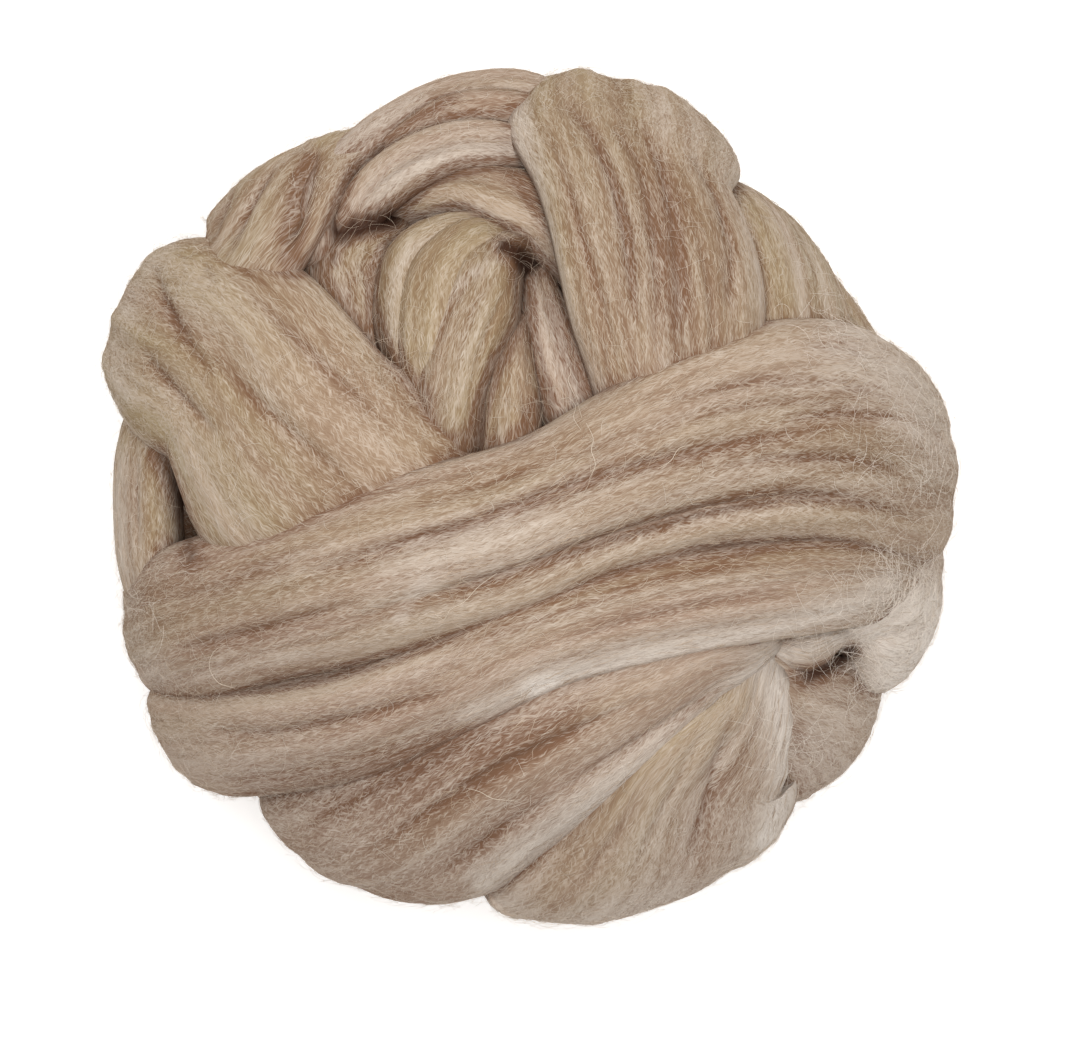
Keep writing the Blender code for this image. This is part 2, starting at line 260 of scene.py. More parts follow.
# %% Crossing passes
LEFT_PASS = [
    (5, 165, 11, 42, 14),
    (125, 157, 11, 42, 14),
    (146, 136, 10, 42, 14),
    (154.8, 114, 6.5, 41, 15),
    (155.1, 92, 1.9, 37, 16),
    (155.8, 72, 6, 46, 17),
    (157.5, 52, 8.4, 47, 18),
    (173, 37, 11.8, 56, 18),
    (-162.2, 25.2, 17, 56, 18),
    (-122, 20, 24, 44, 16),
    (-81, 37, 25, 40, 16),
    (-71, 58, 25, 36, 16),
    (-66, 80, 24, 34, 15),
    (-62, 101, 17, 36, 14),
    (-58, 121, 12, 40, 14),
    (-50, 143, 11, 42, 14),
]
RIGHT_PASS = [
    (150, 172, 10, 46, 15),
    (98, 152, 9, 46, 15),
    (86, 131, 8.5, 44, 15),
    (80, 110, 8.5, 44, 15),
    (77, 89, 8.5, 48, 16),
    (74.5, 70, 9.5, 50, 16),
    (70.7, 54.7, 9, 41, 17),
    (61.7, 42.9, 9.3, 43, 18),
    (49.3, 34.3, 12, 41.5, 18),
    (26.2, 27.4, 18.5, 32, 18),
    (-2.3, 27.9, 24, 26, 16),
    (-20, 38, 25, 18, 15),
    (-34.1, 52.8, 24, 14, 13),
    (-38.1, 48, 14.2, 20, 13),
    (-45.3, 50.1, 11.2, 29, 14),
    (-53, 52.2, 9.5, 41, 15),
    (-60.5, 56.4, 8.8, 50, 15),
    (-66.5, 69, 8.4, 60, 16),
    (-70.5, 80, 7.9, 66, 16),
    (-72.5, 92, 7.5, 69, 16),
    (-77, 110, 8.5, 60, 15),
    (-82, 131, 9, 50, 15),
    (-98, 154, 9, 46, 15),
]
print("rows in the crossing passes:", len(LEFT_PASS), len(RIGHT_PASS))

# %% [markdown]
# ## Rings that fill the rim
#
# Older turns show only as bulges at the outline. Three rings make them: one
# at the widest part, one below it, and one that stands up on the right.

# %% Rim rings
RIM_RING = [
    (-8, 98, 12, 30, 14),
    (16, 99, 15, 30, 14),
    (42, 96, 18.8, 38, 14),
    (70, 99, 18, 29, 14),
    (97, 93, 12, 28, 14),
    (118, 88, 11.5, 30, 14),
    (125, 81, 8.6, 36, 14),
    (131, 75, 6.8, 41, 15),
    (137, 71, 7, 43, 15),
    (143, 72, 9.5, 43, 15),
    (150, 79, 13, 38, 15),
    (158, 84, 12.8, 36, 15),
    (172, 87, 10.2, 35, 15),
    (-176, 88, 9.6, 34, 15),
    (-166, 89, 9.8, 35, 15),
    (-150, 93, 10.5, 34, 14),
    (-126, 101, 11, 32, 14),
    (-106, 104, 11.5, 32, 14),
    (-86, 104, 12, 32, 14),
    (-66, 98, 16, 32, 14),
    (-52, 93, 19, 32, 14),
    (-40, 92, 19, 32, 14),
    (-24, 93, 16.5, 32, 14),
]
LOW_RING = [
    (0, 120, 13, 46, 15),
    (45, 122, 20, 46, 15),
    (90, 120, 13, 46, 15),
    (135, 121, 13.5, 46, 15),
    (180, 119, 12.5, 46, 15),
    (-135, 121, 13.5, 46, 15),
    (-90, 120, 13, 46, 15),
    (-45, 122, 20, 46, 15),
]
RIGHT_RING = [
    (14, 60, 20, 32, 14),
    (-3, 63, 23, 32, 13),
    (-20, 68, 21.5, 30, 13),
    (-35, 74, 16.5, 33, 13),
    (-45, 88, 17, 32, 14),
    (-46, 108, 15.5, 32, 14),
    (-36, 126, 13.5, 34, 14),
    (-8, 140, 12.5, 38, 14),
    (30, 142, 11, 38, 14),
    (52, 128, 11, 36, 14),
    (58, 109, 15, 30, 14),
    (57, 90, 19, 26, 14),
    (49, 79, 16.8, 30, 14),
    (40, 68, 16.2, 31, 14),
    (30, 60, 17, 32, 14),
]
print("rows in the rim rings:", len(RIM_RING), len(LOW_RING), len(RIGHT_RING))

# %% [markdown]
# ## Lower pass and side pass
#
# From here on, a pass has two ends, both hidden inside the ball. The lower
# pass fans out at the lower left and returns from below on the right, where
# it folds under the belt. The side pass is the low bulge between the two.

# %% Lower pass and side pass
LOWER_PASS = [
    (-27, 55.5, 23, 6, 8),
    (-31.5, 47, 16, 9, 11),
    (-37.5, 40.5, 11.5, 14, 13),
    (-46.6, 35.2, 9.6, 22, 14),
    (-71, 35, 9, 32, 16),
    (-95.5, 44, 8.5, 39, 17),
    (-109, 66, 9, 45, 17),
    (-116, 88, 7.5, 47, 16),
    (-118, 109, 8, 46, 15),
    (-118, 130, 9, 42, 14),
    (-100, 152, 10, 38, 14),
    (-35, 162, 10, 34, 14),
    (4, 143, 10, 32, 14),
    (3, 121, 10, 31, 14),
    (-9, 105, 9, 31, 15),
    (-17.5, 90, 7.5, 31, 15),
    (-21.2, 73.5, 8.1, 27, 15),
    (-22.2, 68, 9.8, 17, 14),
    (-24.2, 62.1, 13, 5, 11),
    (-26.8, 57.2, 12.5, 7, 11),
    (-30.1, 54.4, 13, 10, 11),
    (-33.6, 49, 21, 9, 9),
]
SIDE_PASS = [
    (-44, 36, 26, 10, 10),
    (-42, 46, 17, 18, 12),
    (-40.5, 57, 13, 24, 13),
    (-39, 70, 11.3, 31, 14),
    (-39.2, 84, 10.2, 37, 15),
    (-40.2, 100, 10, 38, 15),
    (-43, 118, 12, 32, 14),
    (-46, 136, 17, 26, 12),
]
print("rows in the lower and side pass:", len(LOWER_PASS), len(SIDE_PASS))

# %% [markdown]
# ## Loops over the hollow
#
# At the upper left, thin loops of the band arch over an open hollow: the rim
# loop outside, the inner loop and a wedge below it, and a broad pass at the
# back of the hollow.

# %% Loops
RIM_LOOP = [
    (135.2, 72.5, 26, 5, 7),
    (132.3, 58.9, 16, 7, 9),
    (129.4, 58.6, 10, 7.5, 10),
    (126.2, 62.8, 8, 8, 10),
    (122.5, 67.5, 8, 8.2, 10),
    (118.1, 71.3, 8, 8.6, 10),
    (113.3, 75.6, 7.8, 8.8, 10),
    (108.3, 78.8, 7.2, 9, 10),
    (103, 80.4, 6.2, 9, 10),
    (97.3, 80.9, 5.8, 9.5, 10),
    (91.6, 81.8, 6.2, 11, 10),
    (86.1, 83.6, 8.9, 12, 10),
]
INNER_LOOP = [
    (129.7, 66.9, 23, 6, 7),
    (124.9, 60.2, 15.5, 7.5, 9),
    (119.9, 60.7, 12.5, 8.5, 11),
    (114.3, 62.6, 11.2, 9, 12),
    (108.5, 64.8, 11, 9.6, 12),
    (102.5, 66.7, 11.5, 10, 12),
    (96.7, 67.7, 12.9, 10, 12),
    (91, 70.6, 15.4, 9, 10),
    (86.4, 76.6, 18.7, 7, 9),
]
WEDGE = [
    (122.2, 80, 19, 4, 6),
    (115.9, 75.3, 13.5, 5, 8),
    (109.9, 72.8, 10, 6, 9),
    (103.7, 74.6, 7.9, 8, 10),
    (98.3, 75.3, 7.5, 9.5, 10),
    (92.8, 76.2, 8.5, 10, 10),
    (87.4, 79.1, 10.7, 9, 9),
]
HOLLOW_BACK = [
    (122.1, 82, 25.2, 8, 8),
    (112.6, 70, 22, 10, 10),
    (102.5, 63.2, 20, 13, 12),
    (92.9, 57.4, 20.5, 17, 13),
    (83.2, 55.9, 25, 18, 13),
    (70, 53.1, 32, 18, 12),
]
print("rows in the loops:", [len(t) for t in (RIM_LOOP, INNER_LOOP, WEDGE, HOLLOW_BACK)])

# %% [markdown]
# ## The knot
#
# In the hollow, the band turns back on itself in a tight knot. Its main lobe
# is three strands that meet in one dark point, with a lobe on either side and
# a foot that runs under the belt.

# %% Knot
KNOT = [
    (90.7, 58.6, 36, 7, 8),
    (94.1, 51.3, 29, 10, 12),
    (98.4, 44.8, 23.5, 13, 15),
    (102.8, 37, 19.5, 16.5, 18),
    (107.5, 30.8, 18, 18.5, 19),
    (115.4, 25.7, 17.5, 17, 19),
    (125.5, 21.6, 18.5, 15.5, 18),
    (138.3, 18.7, 22, 15, 17),
    (157.8, 16.9, 29, 14, 15),
]
KNOT_MIDDLE = [
    (92.1, 57, 35, 6, 9),
    (97.1, 51, 27.5, 9, 12),
    (103, 47.8, 22.8, 13.5, 15),
    (108.9, 43.2, 20, 15.5, 16),
    (114.4, 38.6, 18.8, 16.5, 17),
    (120.2, 32.7, 18.4, 16.5, 17),
    (126.4, 27.8, 19.2, 15, 16),
    (133.2, 23.5, 22, 12, 14),
    (139.9, 19.6, 27, 11, 12),
]
KNOT_RIM = [
    (90.9, 68, 40, 6, 8),
    (95.2, 57, 31, 8, 11),
    (100.5, 54.6, 26, 9, 13),
    (106.1, 52, 22.4, 11.5, 14),
    (111.5, 49.8, 20.7, 13, 15),
    (117.1, 47.2, 19.7, 14, 15),
    (122.4, 41.3, 19.7, 14.5, 15),
    (127.6, 35.5, 20.2, 14, 15),
    (133, 30.8, 21.8, 11, 14),
    (137.5, 26.3, 24.5, 11, 13),
    (143.1, 22.1, 29.5, 10, 12),
]
KNOT_LEFT = [
    (115.6, 78, 29.5, 8, 8),
    (119.1, 66.7, 25.5, 12, 11),
    (125.3, 61.6, 21, 20, 14),
    (132, 55.5, 20.5, 22, 16),
    (136.9, 49.1, 24.5, 20, 16),
    (143.9, 44.4, 30, 20, 16),
    (150.7, 39, 37, 20, 16),
]
KNOT_RIGHT = [
    (90.2, 70.8, 40, 6, 8),
    (87.9, 46.3, 33, 9, 11),
    (83.9, 32.1, 28, 12, 13),
    (75.9, 22.5, 26.5, 13.5, 14),
    (60.8, 16.8, 28, 15, 14),
    (37.2, 14.8, 31, 16, 14),
]
KNOT_FOOT = [
    (93.3, 33, 28, 5, 8),
    (95.8, 24.9, 22, 7.5, 11),
    (99.2, 18.9, 18.8, 10.5, 13),
    (102.6, 14.3, 18, 12.5, 14),
    (109.5, 10, 19.5, 13, 14),
    (144.3, 5.6, 26, 13, 12),
]
print("rows in the knot:", [len(t) for t in (KNOT, KNOT_MIDDLE, KNOT_RIM, KNOT_LEFT)])

# %% [markdown]
# ## List of the passes
#
# Wide passes that show get more columns, so that their quads stay narrow.
# The two last numbers tint the wool, because the band isn't dyed and its tone
# drifts along its length.

# %% List of the passes
# name, table, closed, columns over the outer side, rosy, grey
PIECES = [
    ("belt", BELT, True, 96, 0.15, 0.22),
    ("lower_belt", LOWER_BELT, True, 52, 0.20, 0.30),
    ("left_pass", LEFT_PASS, True, 92, -0.15, 0.00),
    ("right_pass", RIGHT_PASS, True, 92, -0.15, 0.02),
    ("rim_ring", RIM_RING, True, 64, -0.25, 0.05),
    ("low_ring", LOW_RING, True, 40, 0.00, 0.10),
    ("right_ring", RIGHT_RING, True, 50, -0.25, 0.10),
    ("lower_pass", LOWER_PASS, False, 80, 0.35, 0.30),
    ("rim_loop", RIM_LOOP, False, 36, 0.50, 0.30),
    ("inner_loop", INNER_LOOP, False, 34, 0.50, 0.22),
    ("wedge", WEDGE, False, 22, 0.10, 0.10),
    ("hollow_back", HOLLOW_BACK, False, 36, 0.30, 0.00),
    ("knot", KNOT, False, 50, -0.45, 0.00),
    ("knot_middle", KNOT_MIDDLE, False, 34, -0.35, 0.00),
    ("knot_rim", KNOT_RIM, False, 34, -0.35, 0.00),
    ("knot_left", KNOT_LEFT, False, 46, -0.50, -0.10),
    ("knot_right", KNOT_RIGHT, False, 38, 0.30, 0.02),
    ("knot_foot", KNOT_FOOT, False, 36, -0.20, 0.00),
    ("side_pass", SIDE_PASS, False, 48, 0.05, 0.35),
]
print("passes:", len(PIECES))

# %% [markdown]
# ## Sweeping a pass
#
# Combed wool has no edge: a pass is a soft, flattened round that lies on what
# is under it. So its section is a superellipse, bent to the ball's curve, and
# it is carried along a smooth curve through the table's rows. A Catmull-Rom
# curve passes through every row, so the table says just where the band lies.

# %% Path and section
ROW_STEP = 2.0
SPAN_STEP = 0.04
LEAST_ROWS = 4


def smooth_rows(rows, closed, step):
    """Catmull-Rom through the rows: a cubic between each two rows whose slope
    at a row is half the difference of its neighbours, read at even steps."""
    if closed:
        padded = np.vstack([rows[-1:], rows, rows[:2]])
    else:
        padded = np.vstack([2 * rows[:1] - rows[1:2], rows, 2 * rows[-1:] - rows[-2:-1]])
    t = np.arange(0, 1, SPAN_STEP)[None, :, None]
    p0, p1, p2, p3 = (padded[i:len(padded) - 3 + i, None, :] for i in range(4))
    fine = 0.5 * (
        2 * p1
        + (p2 - p0) * t
        + (2 * p0 - 5 * p1 + 4 * p2 - p3) * t ** 2
        + (3 * p1 - p0 - 3 * p2 + p3) * t ** 3
    )
    fine = np.vstack([fine.reshape(-1, rows.shape[1]), padded[-2]])
    legs = np.linalg.norm(np.diff(fine[:, :3], axis=0), axis=1)
    along = np.concatenate([[0], np.cumsum(legs)])
    count = max(LEAST_ROWS, int(round(along[-1] / step)))
    marks = np.linspace(0, along[-1], count + 1)
    if closed:
        marks = marks[:-1]
    even = np.column_stack([np.interp(marks, along, column) for column in fine.T])
    return even, along[-1]


def unit(vectors):
    """Each vector divided by its own length."""
    return vectors / np.linalg.norm(vectors, axis=-1, keepdims=True)


def path_frames(middle, closed):
    """Across and lift directions: across is the tangent times the envelope's
    normal, and lift is across times the tangent."""
    if closed:
        tangent = np.roll(middle, -1, axis=0) - np.roll(middle, 1, axis=0)
    else:
        tangent = np.gradient(middle, axis=0)
    tangent = unit(tangent)
    across = unit(np.cross(tangent, unit(middle / half_axes(middle) ** 2)))
    return across, np.cross(across, tangent)


belt_rows, belt_length = smooth_rows(ball_points(np.array(BELT)), True, ROW_STEP)
print("the belt is", round(belt_length), "mm round, in", len(belt_rows), "rows")

# %% [markdown]
# ## Soft noise along a pass
#
# Even wool swells and thins a little along the way, and its fibres clump into
# long ridges. Blender's own noise is read one point at a time, so a small
# value noise on a lattice is written here, for whole arrays at once.

# %% Lattice noise
NOISE_LANES = 256
FIRST_LANE = 97.3


def blend_four(grid, i0, i1, j0, j1, fi, fj):
    """Bilinear blend: first along j by the share fj, then along i by fi."""
    low = grid[i0, j0] * (1 - fj) + grid[i0, j1] * fj
    high = grid[i1, j0] * (1 - fj) + grid[i1, j1] * fj
    return low * (1 - fi) + high * fi


def lattice_noise(s, a, long_mm, wide_mm, period, seed):
    """Smooth random field from -1 to 1: random values on a grid of long_mm by
    wide_mm, blended by smoothstep between the four nearest, and repeating
    after the period along s."""
    rng = np.random.default_rng(seed)
    cells = max(2, int(round(period / long_mm)))
    grid = rng.uniform(-1, 1, (cells, NOISE_LANES))
    i, j = s / period * cells, a / wide_mm + FIRST_LANE
    i0, j0 = np.floor(i).astype(int), np.floor(j).astype(int)
    fi, fj = i - i0, j - j0
    fi, fj = fi * fi * (3 - 2 * fi), fj * fj * (3 - 2 * fj)
    i1, j1 = (i0 + 1) % cells, (j0 + 1) % NOISE_LANES
    return blend_four(grid, i0 % cells, i1, j0 % NOISE_LANES, j1, fi, fj)


steps = np.linspace(0, 100, 50)
sample = lattice_noise(steps, 0 * steps, 20.0, 5.0, 100.0, 1)
print("noise from", round(float(sample.min()), 2), "to", round(float(sample.max()), 2))


# %% [markdown]
# ## Creases
#
# The big passes show deep creases where the band folded along its length.
# Each crease is a line of pixels read off the photograph, with its height,
# depth and half width in millimetres.

# %% Table of creases
CREASES = [
    # piece, height, depth, half width, line
    ("belt", 104, 3.4, 1.7, [
        (300, 578), (350, 562), (400, 545), (450, 530), (500, 510), (560, 490), (620, 470), (700, 452),
        (760, 440), (840, 430),
    ]),
    ("belt", 103, 5.2, 1.6, [
        (440, 594), (500, 578), (550, 561), (600, 545), (650, 530), (700, 515), (750, 505), (800, 498),
        (850, 500), (900, 509), (950, 522),
    ]),
    ("belt", 103, 1.6, 1.8, [(340, 625), (400, 603), (450, 591), (520, 572)]),
    ("belt", 96, 3.0, 1.7, [(680, 556), (720, 553), (770, 553), (820, 547), (880, 552)]),
    ("belt", 100, 2.4, 1.2, [(640, 405), (700, 391), (760, 379), (850, 381), (910, 395)]),
    ("belt", 98, 1.8, 1.0, [(650, 425), (720, 409), (800, 399), (880, 402)]),
    ("belt", 96, 2.2, 1.2, [(690, 472), (780, 458), (860, 458), (930, 472)]),
    ("belt", 90, 2.2, 1.1, [(780, 420), (850, 412), (915, 418)]),
    ("belt", 85, 1.8, 1.2, [(800, 345), (850, 345), (900, 360)]),
    ("belt", 104, 1.6, 1.6, [(400, 512), (470, 487), (540, 465), (620, 437), (680, 420)]),
    ("belt", 90, 2.0, 1.5, [(165, 655), (220, 640), (290, 622), (370, 600)]),
    ("belt", 90, 1.5, 1.3, [(150, 605), (210, 590), (270, 565), (330, 545)]),
    ("lower_belt", 92, 2.2, 1.2, [(190, 735), (260, 738), (330, 722), (400, 705), (450, 690)]),
    ("lower_belt", 98, 1.8, 1.0, [(560, 640), (640, 618), (720, 602), (800, 592)]),
    ("right_pass", 90, 3.4, 1.3, [
        (566, 85), (596, 130), (614, 180), (626, 230), (632, 290), (636, 335),
    ]),
    ("right_pass", 85, 2.6, 1.3, [(640, 108), (662, 160), (676, 220), (682, 280), (676, 345)]),
    ("right_pass", 85, 1.8, 1.1, [(540, 110), (562, 170), (580, 240), (598, 300), (610, 360)]),
    ("right_pass", 80, 2.2, 1.1, [(695, 150), (720, 200), (733, 250), (728, 310)]),
    ("right_pass", 80, 1.6, 0.9, [(590, 95), (640, 160), (652, 230), (655, 300), (652, 350)]),
    ("right_pass", 72, 2.2, 1.1, [(728, 700), (716, 760), (702, 820), (690, 870)]),
    ("right_pass", 72, 1.8, 1.0, [(700, 720), (672, 780), (645, 840), (625, 890)]),
    ("right_pass", 68, 1.6, 0.9, [(640, 790), (605, 840), (580, 890)]),
    ("left_pass", 75, 3.0, 0.9, [
        (147, 262), (152, 280), (162, 305), (176, 327), (194, 350), (222, 382),
    ]),
    ("left_pass", 75, 2.2, 0.9, [(138, 345), (152, 366), (172, 388), (200, 415), (225, 438)]),
    ("left_pass", 82, 1.6, 0.8, [(200, 258), (206, 273), (215, 290)]),
    ("left_pass", 88, 1.8, 1.2, [(215, 262), (260, 305), (310, 352), (360, 400), (400, 440)]),
    ("left_pass", 85, 1.6, 1.2, [(205, 350), (250, 395), (300, 440), (350, 478)]),
    ("rim_ring", 62, 3.2, 1.2, [(275, 165), (255, 195), (243, 225), (236, 258)]),
    ("rim_ring", 62, 2.2, 1.1, [(232, 185), (218, 215), (212, 245)]),
    ("rim_ring", 60, 3.6, 1.2, [(166, 462), (173, 495), (177, 525), (174, 560)]),
    ("rim_ring", 55, 2.2, 1.1, [(140, 450), (138, 500), (142, 550)]),
    ("rim_ring", 62, 6.0, 2.2, [(318, 145), (306, 172), (301, 200), (300, 235), (300, 275)]),
    ("rim_ring", 62, 7.0, 2.4, [(806, 668), (830, 660), (852, 656), (866, 664)]),
    ("right_ring", 66, 6.0, 2.2, [(798, 674), (822, 663), (848, 650)]),
    ("lower_pass", 88, 2.2, 1.1, [(560, 790), (620, 752), (680, 715), (735, 675)]),
    ("lower_pass", 85, 2.6, 1.3, [(360, 860), (430, 810), (500, 765), (580, 725), (650, 690)]),
    ("lower_pass", 85, 1.8, 1.2, [(300, 830), (370, 790), (440, 755), (520, 720)]),
    ("lower_pass", 80, 1.8, 1.1, [(440, 880), (500, 830), (560, 790)]),
    ("lower_pass", 70, 2.6, 1.6, [(848, 668), (870, 645), (905, 632), (935, 630)]),
    ("lower_pass", 70, 2.0, 1.4, [(885, 680), (900, 660), (930, 655)]),
    ("inner_loop", 72, 1.5, 0.8, [(362, 214), (390, 184), (422, 164), (460, 152), (508, 152)]),
    ("inner_loop", 72, 1.2, 0.7, [(376, 210), (402, 186), (436, 169), (480, 160), (510, 159)]),
    ("rim_loop", 70, 1.4, 0.8, [
        (322, 245), (328, 205), (344, 170), (372, 138), (410, 116), (450, 103),
    ]),
    ("knot", 93, 1.2, 1.0, [(512, 266), (494, 280), (476, 304), (464, 340), (458, 380)]),
    ("knot", 93, 1.0, 0.9, [(514, 280), (502, 304), (488, 336), (474, 374)]),
    ("knot", 93, 0.9, 0.9, [(484, 264), (464, 282), (446, 312), (438, 350)]),
    ("knot_rim", 88, 0.9, 0.8, [(476, 236), (446, 244), (424, 262), (412, 292), (408, 330)]),
    ("knot_left", 80, 1.2, 0.9, [(392, 244), (372, 258), (352, 285), (342, 312)]),
    ("knot_left", 78, 0.9, 0.8, [(396, 250), (384, 280), (374, 315)]),
    ("knot_foot", 80, 1.2, 0.8, [(514, 372), (508, 400), (504, 432)]),
    ("knot_foot", 80, 1.0, 0.8, [(520, 380), (524, 405), (526, 425)]),
]
print("creases:", len(CREASES))

# %% [markdown]
# ## Depth of a crease
#
# A point of the surface sinks by the depth, and ever less with its distance
# from the line in plan. The crease fades at the line's two ends and down the
# ball's side, which the photograph doesn't show.

# %% Depth of a crease
CREASE_DOTS = 12
CREASE_END = 0.6
CREASE_ROUNDING = 0.04
CREASE_LOW, CREASE_FADE = 32, 16


def dots_along(line, height, per_point):
    """Points on the plan along a line of pixels, evenly between its corners."""
    corners = on_ball_plan(line, height)
    marks = np.linspace(0, len(corners) - 1, per_point * len(corners))
    return np.column_stack([np.interp(marks, np.arange(len(corners)), c) for c in corners.T])


def crease_depth(piece, points):
    """Sum over the piece's creases of depth times exp(-distance / half
    width), where the distance is to the nearest point of the line, rounded at
    the bottom, times the fades at its ends and down the side."""
    x, y, z = points[..., 0], points[..., 1], points[..., 2] + MIDDLE_HEIGHT
    total = np.zeros_like(x)
    side = np.clip((z - CREASE_LOW) / CREASE_FADE, 0, 1)
    for owner, height, depth, half_width, line in CREASES:
        if owner != piece:
            continue
        dots = dots_along(line, height, CREASE_DOTS)
        fade = np.sin(np.pi * np.linspace(0, 1, len(dots))) ** CREASE_END
        best, gain = np.full(x.shape, 1e9), np.zeros_like(x)
        for dot, strength in zip(dots, fade):
            gap = (x - dot[0]) ** 2 + (y - dot[1]) ** 2
            nearer = gap < best
            best = np.where(nearer, gap, best)
            gain = np.where(nearer, strength, gain)
        total += depth * gain * np.exp(-np.sqrt(best + CREASE_ROUNDING) / half_width) * side
    return total


print("dots in the longest crease:", CREASE_DOTS * max(len(row[4]) for row in CREASES))

# %% [markdown]
# ## The surface of a pass
#
# The fine surface follows the solid's section, with two extra things pressed
# into its outer side: the creases, and long soft ridges where fibres clump.
# The ridges are noise that is much longer than it is wide, and it is measured
# round the section, so the ridges fan out where the band widens, as fibres do.

# %% Surface of a pass
RIDGES = [
    # long, wide, height, in mm
    (80.0, 6.0, 0.90),
    (45.0, 2.7, 0.36),
    (22.0, 1.2, 0.12),
]
INNER_COLUMNS = 12
SWELL, SWELL_LONG, SWELL_WIDE = 0.05, 28.0, 10.0
RIDGE_SINK, LEAST_RIDGE = 0.5, 0.3
FIRST_SEED, PASS_SEEDS, RIDGE_SEEDS = 100, 7, 11
FLOOR_CLEARANCE = 0.05
OPEN_PERIOD = 1.37


def unit_section(columns):
    """Superellipse: cos^p and sin^p with their signs, where p is 2 / fullness,
    with most of its columns on the outer side."""
    turn = np.concatenate([
        np.linspace(0, np.pi, columns, endpoint=False),
        np.linspace(np.pi, 2 * np.pi, INNER_COLUMNS, endpoint=False),
    ])
    power = 2 / EDGE_FULLNESS
    flat = np.sign(np.cos(turn)) * np.abs(np.cos(turn)) ** power
    high = np.sign(np.sin(turn)) * np.abs(np.sin(turn)) ** power
    return flat, high


def fibre_map(flat, high, rows, length, closed):
    """Distance along the pass, and round its mean section, of each point."""
    mean_w, mean_t = rows[:, 3].mean(), rows[:, 4].mean()
    ring = np.column_stack([flat * mean_w / 2, high * mean_t / 2])
    legs = np.linalg.norm(np.roll(ring, -1, axis=0) - ring, axis=1)
    round_mm = np.concatenate([[0], np.cumsum(legs)[:-1]])
    s = np.linspace(0, length, len(rows), endpoint=not closed)[:, None] + 0 * round_mm[None, :]
    return s, round_mm[None, :] + 0 * s, round_mm[-1] + legs[-1]


def pass_surface(name, table, closed, columns, seed, clearance):
    """Grid of points of a pass. Its section is u = w/2 cos^p, v = t/2 sin^p,
    less u^2 / 2R for the ball's curve, moved out by ridges and in by creases."""
    table = np.array(table, dtype=float)
    rows = np.column_stack([ball_points(table), table[:, 3:]])
    rows, length = smooth_rows(rows, closed, ROW_STEP)
    middle = rows[:, :3]
    across, lift = path_frames(middle, closed)
    flat, high = unit_section(columns)
    s, a, around = fibre_map(flat, high, rows, length, closed)
    period = length if closed else length * OPEN_PERIOD

    along = s[:, :1]
    swell = 1 + SWELL * lattice_noise(along, 0 * along, SWELL_LONG, SWELL_WIDE, period, seed)
    u = flat[None, :] * rows[:, 3:4] / 2 * swell
    v = high[None, :] * rows[:, 4:5] / 2
    outer = np.clip(high, 0, 1)[None, :] ** 0.5
    ridge = np.zeros_like(u) - RIDGE_SINK
    for k, (long_mm, wide_mm, tall) in enumerate(RIDGES):
        ridge_seed = seed + RIDGE_SEEDS * (k + 1)
        ridge += tall * lattice_noise(s, a, long_mm, wide_mm, period, ridge_seed)
    narrow = np.clip(rows[:, 3:4] / rows[:, 3].mean(), LEAST_RIDGE, 1)
    v_ball = v - u ** 2 / (2 * MEAN_RADIUS)
    points = (
        middle[:, None, :]
        + u[:, :, None] * across[:, None, :]
        + v_ball[:, :, None] * lift[:, None, :]
    )
    side_u = flat[None, :] / (rows[:, 3:4] / 2)
    side_v = high[None, :] / (rows[:, 4:5] / 2)
    normal = unit(side_u[:, :, None] * across[:, None, :] + side_v[:, :, None] * lift[:, None, :])
    crease = crease_depth(name, points) * outer
    move = (ridge * narrow * outer) - crease
    points = points + move[:, :, None] * normal
    points[..., 2] += MIDDLE_HEIGHT
    points[..., 2] = np.maximum(points[..., 2], clearance)
    return {
        "name": name, "closed": closed, "columns": columns, "rows": rows,
        "middle": middle, "across": across, "lift": lift,
        "points": points, "normal": normal, "a": a, "length": length, "around": around,
        "crease": crease, "ridge": ridge, "edge": np.abs(flat)[None, :] + 0 * u,
    }


surfaces = [
    pass_surface(
        name, table, closed, columns, FIRST_SEED + PASS_SEEDS * k, FLOOR_CLEARANCE * (k + 1)
    )
    for k, (name, table, closed, columns, _, _) in enumerate(PIECES)
]
print("rows by columns:", [item["points"].shape[:2] for item in surfaces])
print("deepest crease:", {item["name"]: round(float(item["crease"].max()), 2) for item in surfaces})

# %% [markdown]
# ## Crowded places
#
# Where two passes press together, little light gets in and the wool looks
# dark and reddish. Blender could bake this as ambient occlusion, but a test on
# the tables is quicker: each point of a surface is pushed out by a few
# millimetres, and if it lands in another pass, it is crowded. The strands of
# the knot melt into one lobe, so they don't crowd each other.

# %% Crowding
PUSHES = (1.5, 3.0, 5.0, 8.0)
DROOP = 0.5
KNOT_STRANDS = {"knot", "knot_middle", "knot_rim"}
SECTION_STRIDE = 3
FULL_CROWD = 0.7
SEARCH = 40.0


def fill_of(surface, points, grow):
    """How deep points lie in a pass: in the frame of the nearest section,
    1.5 - |2u/w| ^ p - |2v/t| ^ p, so it is above 0.5 inside the pass."""
    middle = surface["middle"][::SECTION_STRIDE]
    gap = -2 * points @ middle.T + (middle ** 2).sum(1)
    near = gap.argmin(1) * SECTION_STRIDE
    offset = points - surface["middle"][near]
    u = (offset * surface["across"][near]).sum(-1)
    v = (offset * surface["lift"][near]).sum(-1) + u ** 2 / (2 * MEAN_RADIUS)
    w = surface["rows"][near, 3] / 2 + grow
    t = surface["rows"][near, 4] / 2 + grow
    fill = 1.5 - np.abs(u / w) ** EDGE_FULLNESS - np.abs(v / t) ** EDGE_FULLNESS
    return np.where((offset ** 2).sum(-1) > (w + t) ** 2, -1.0, fill)


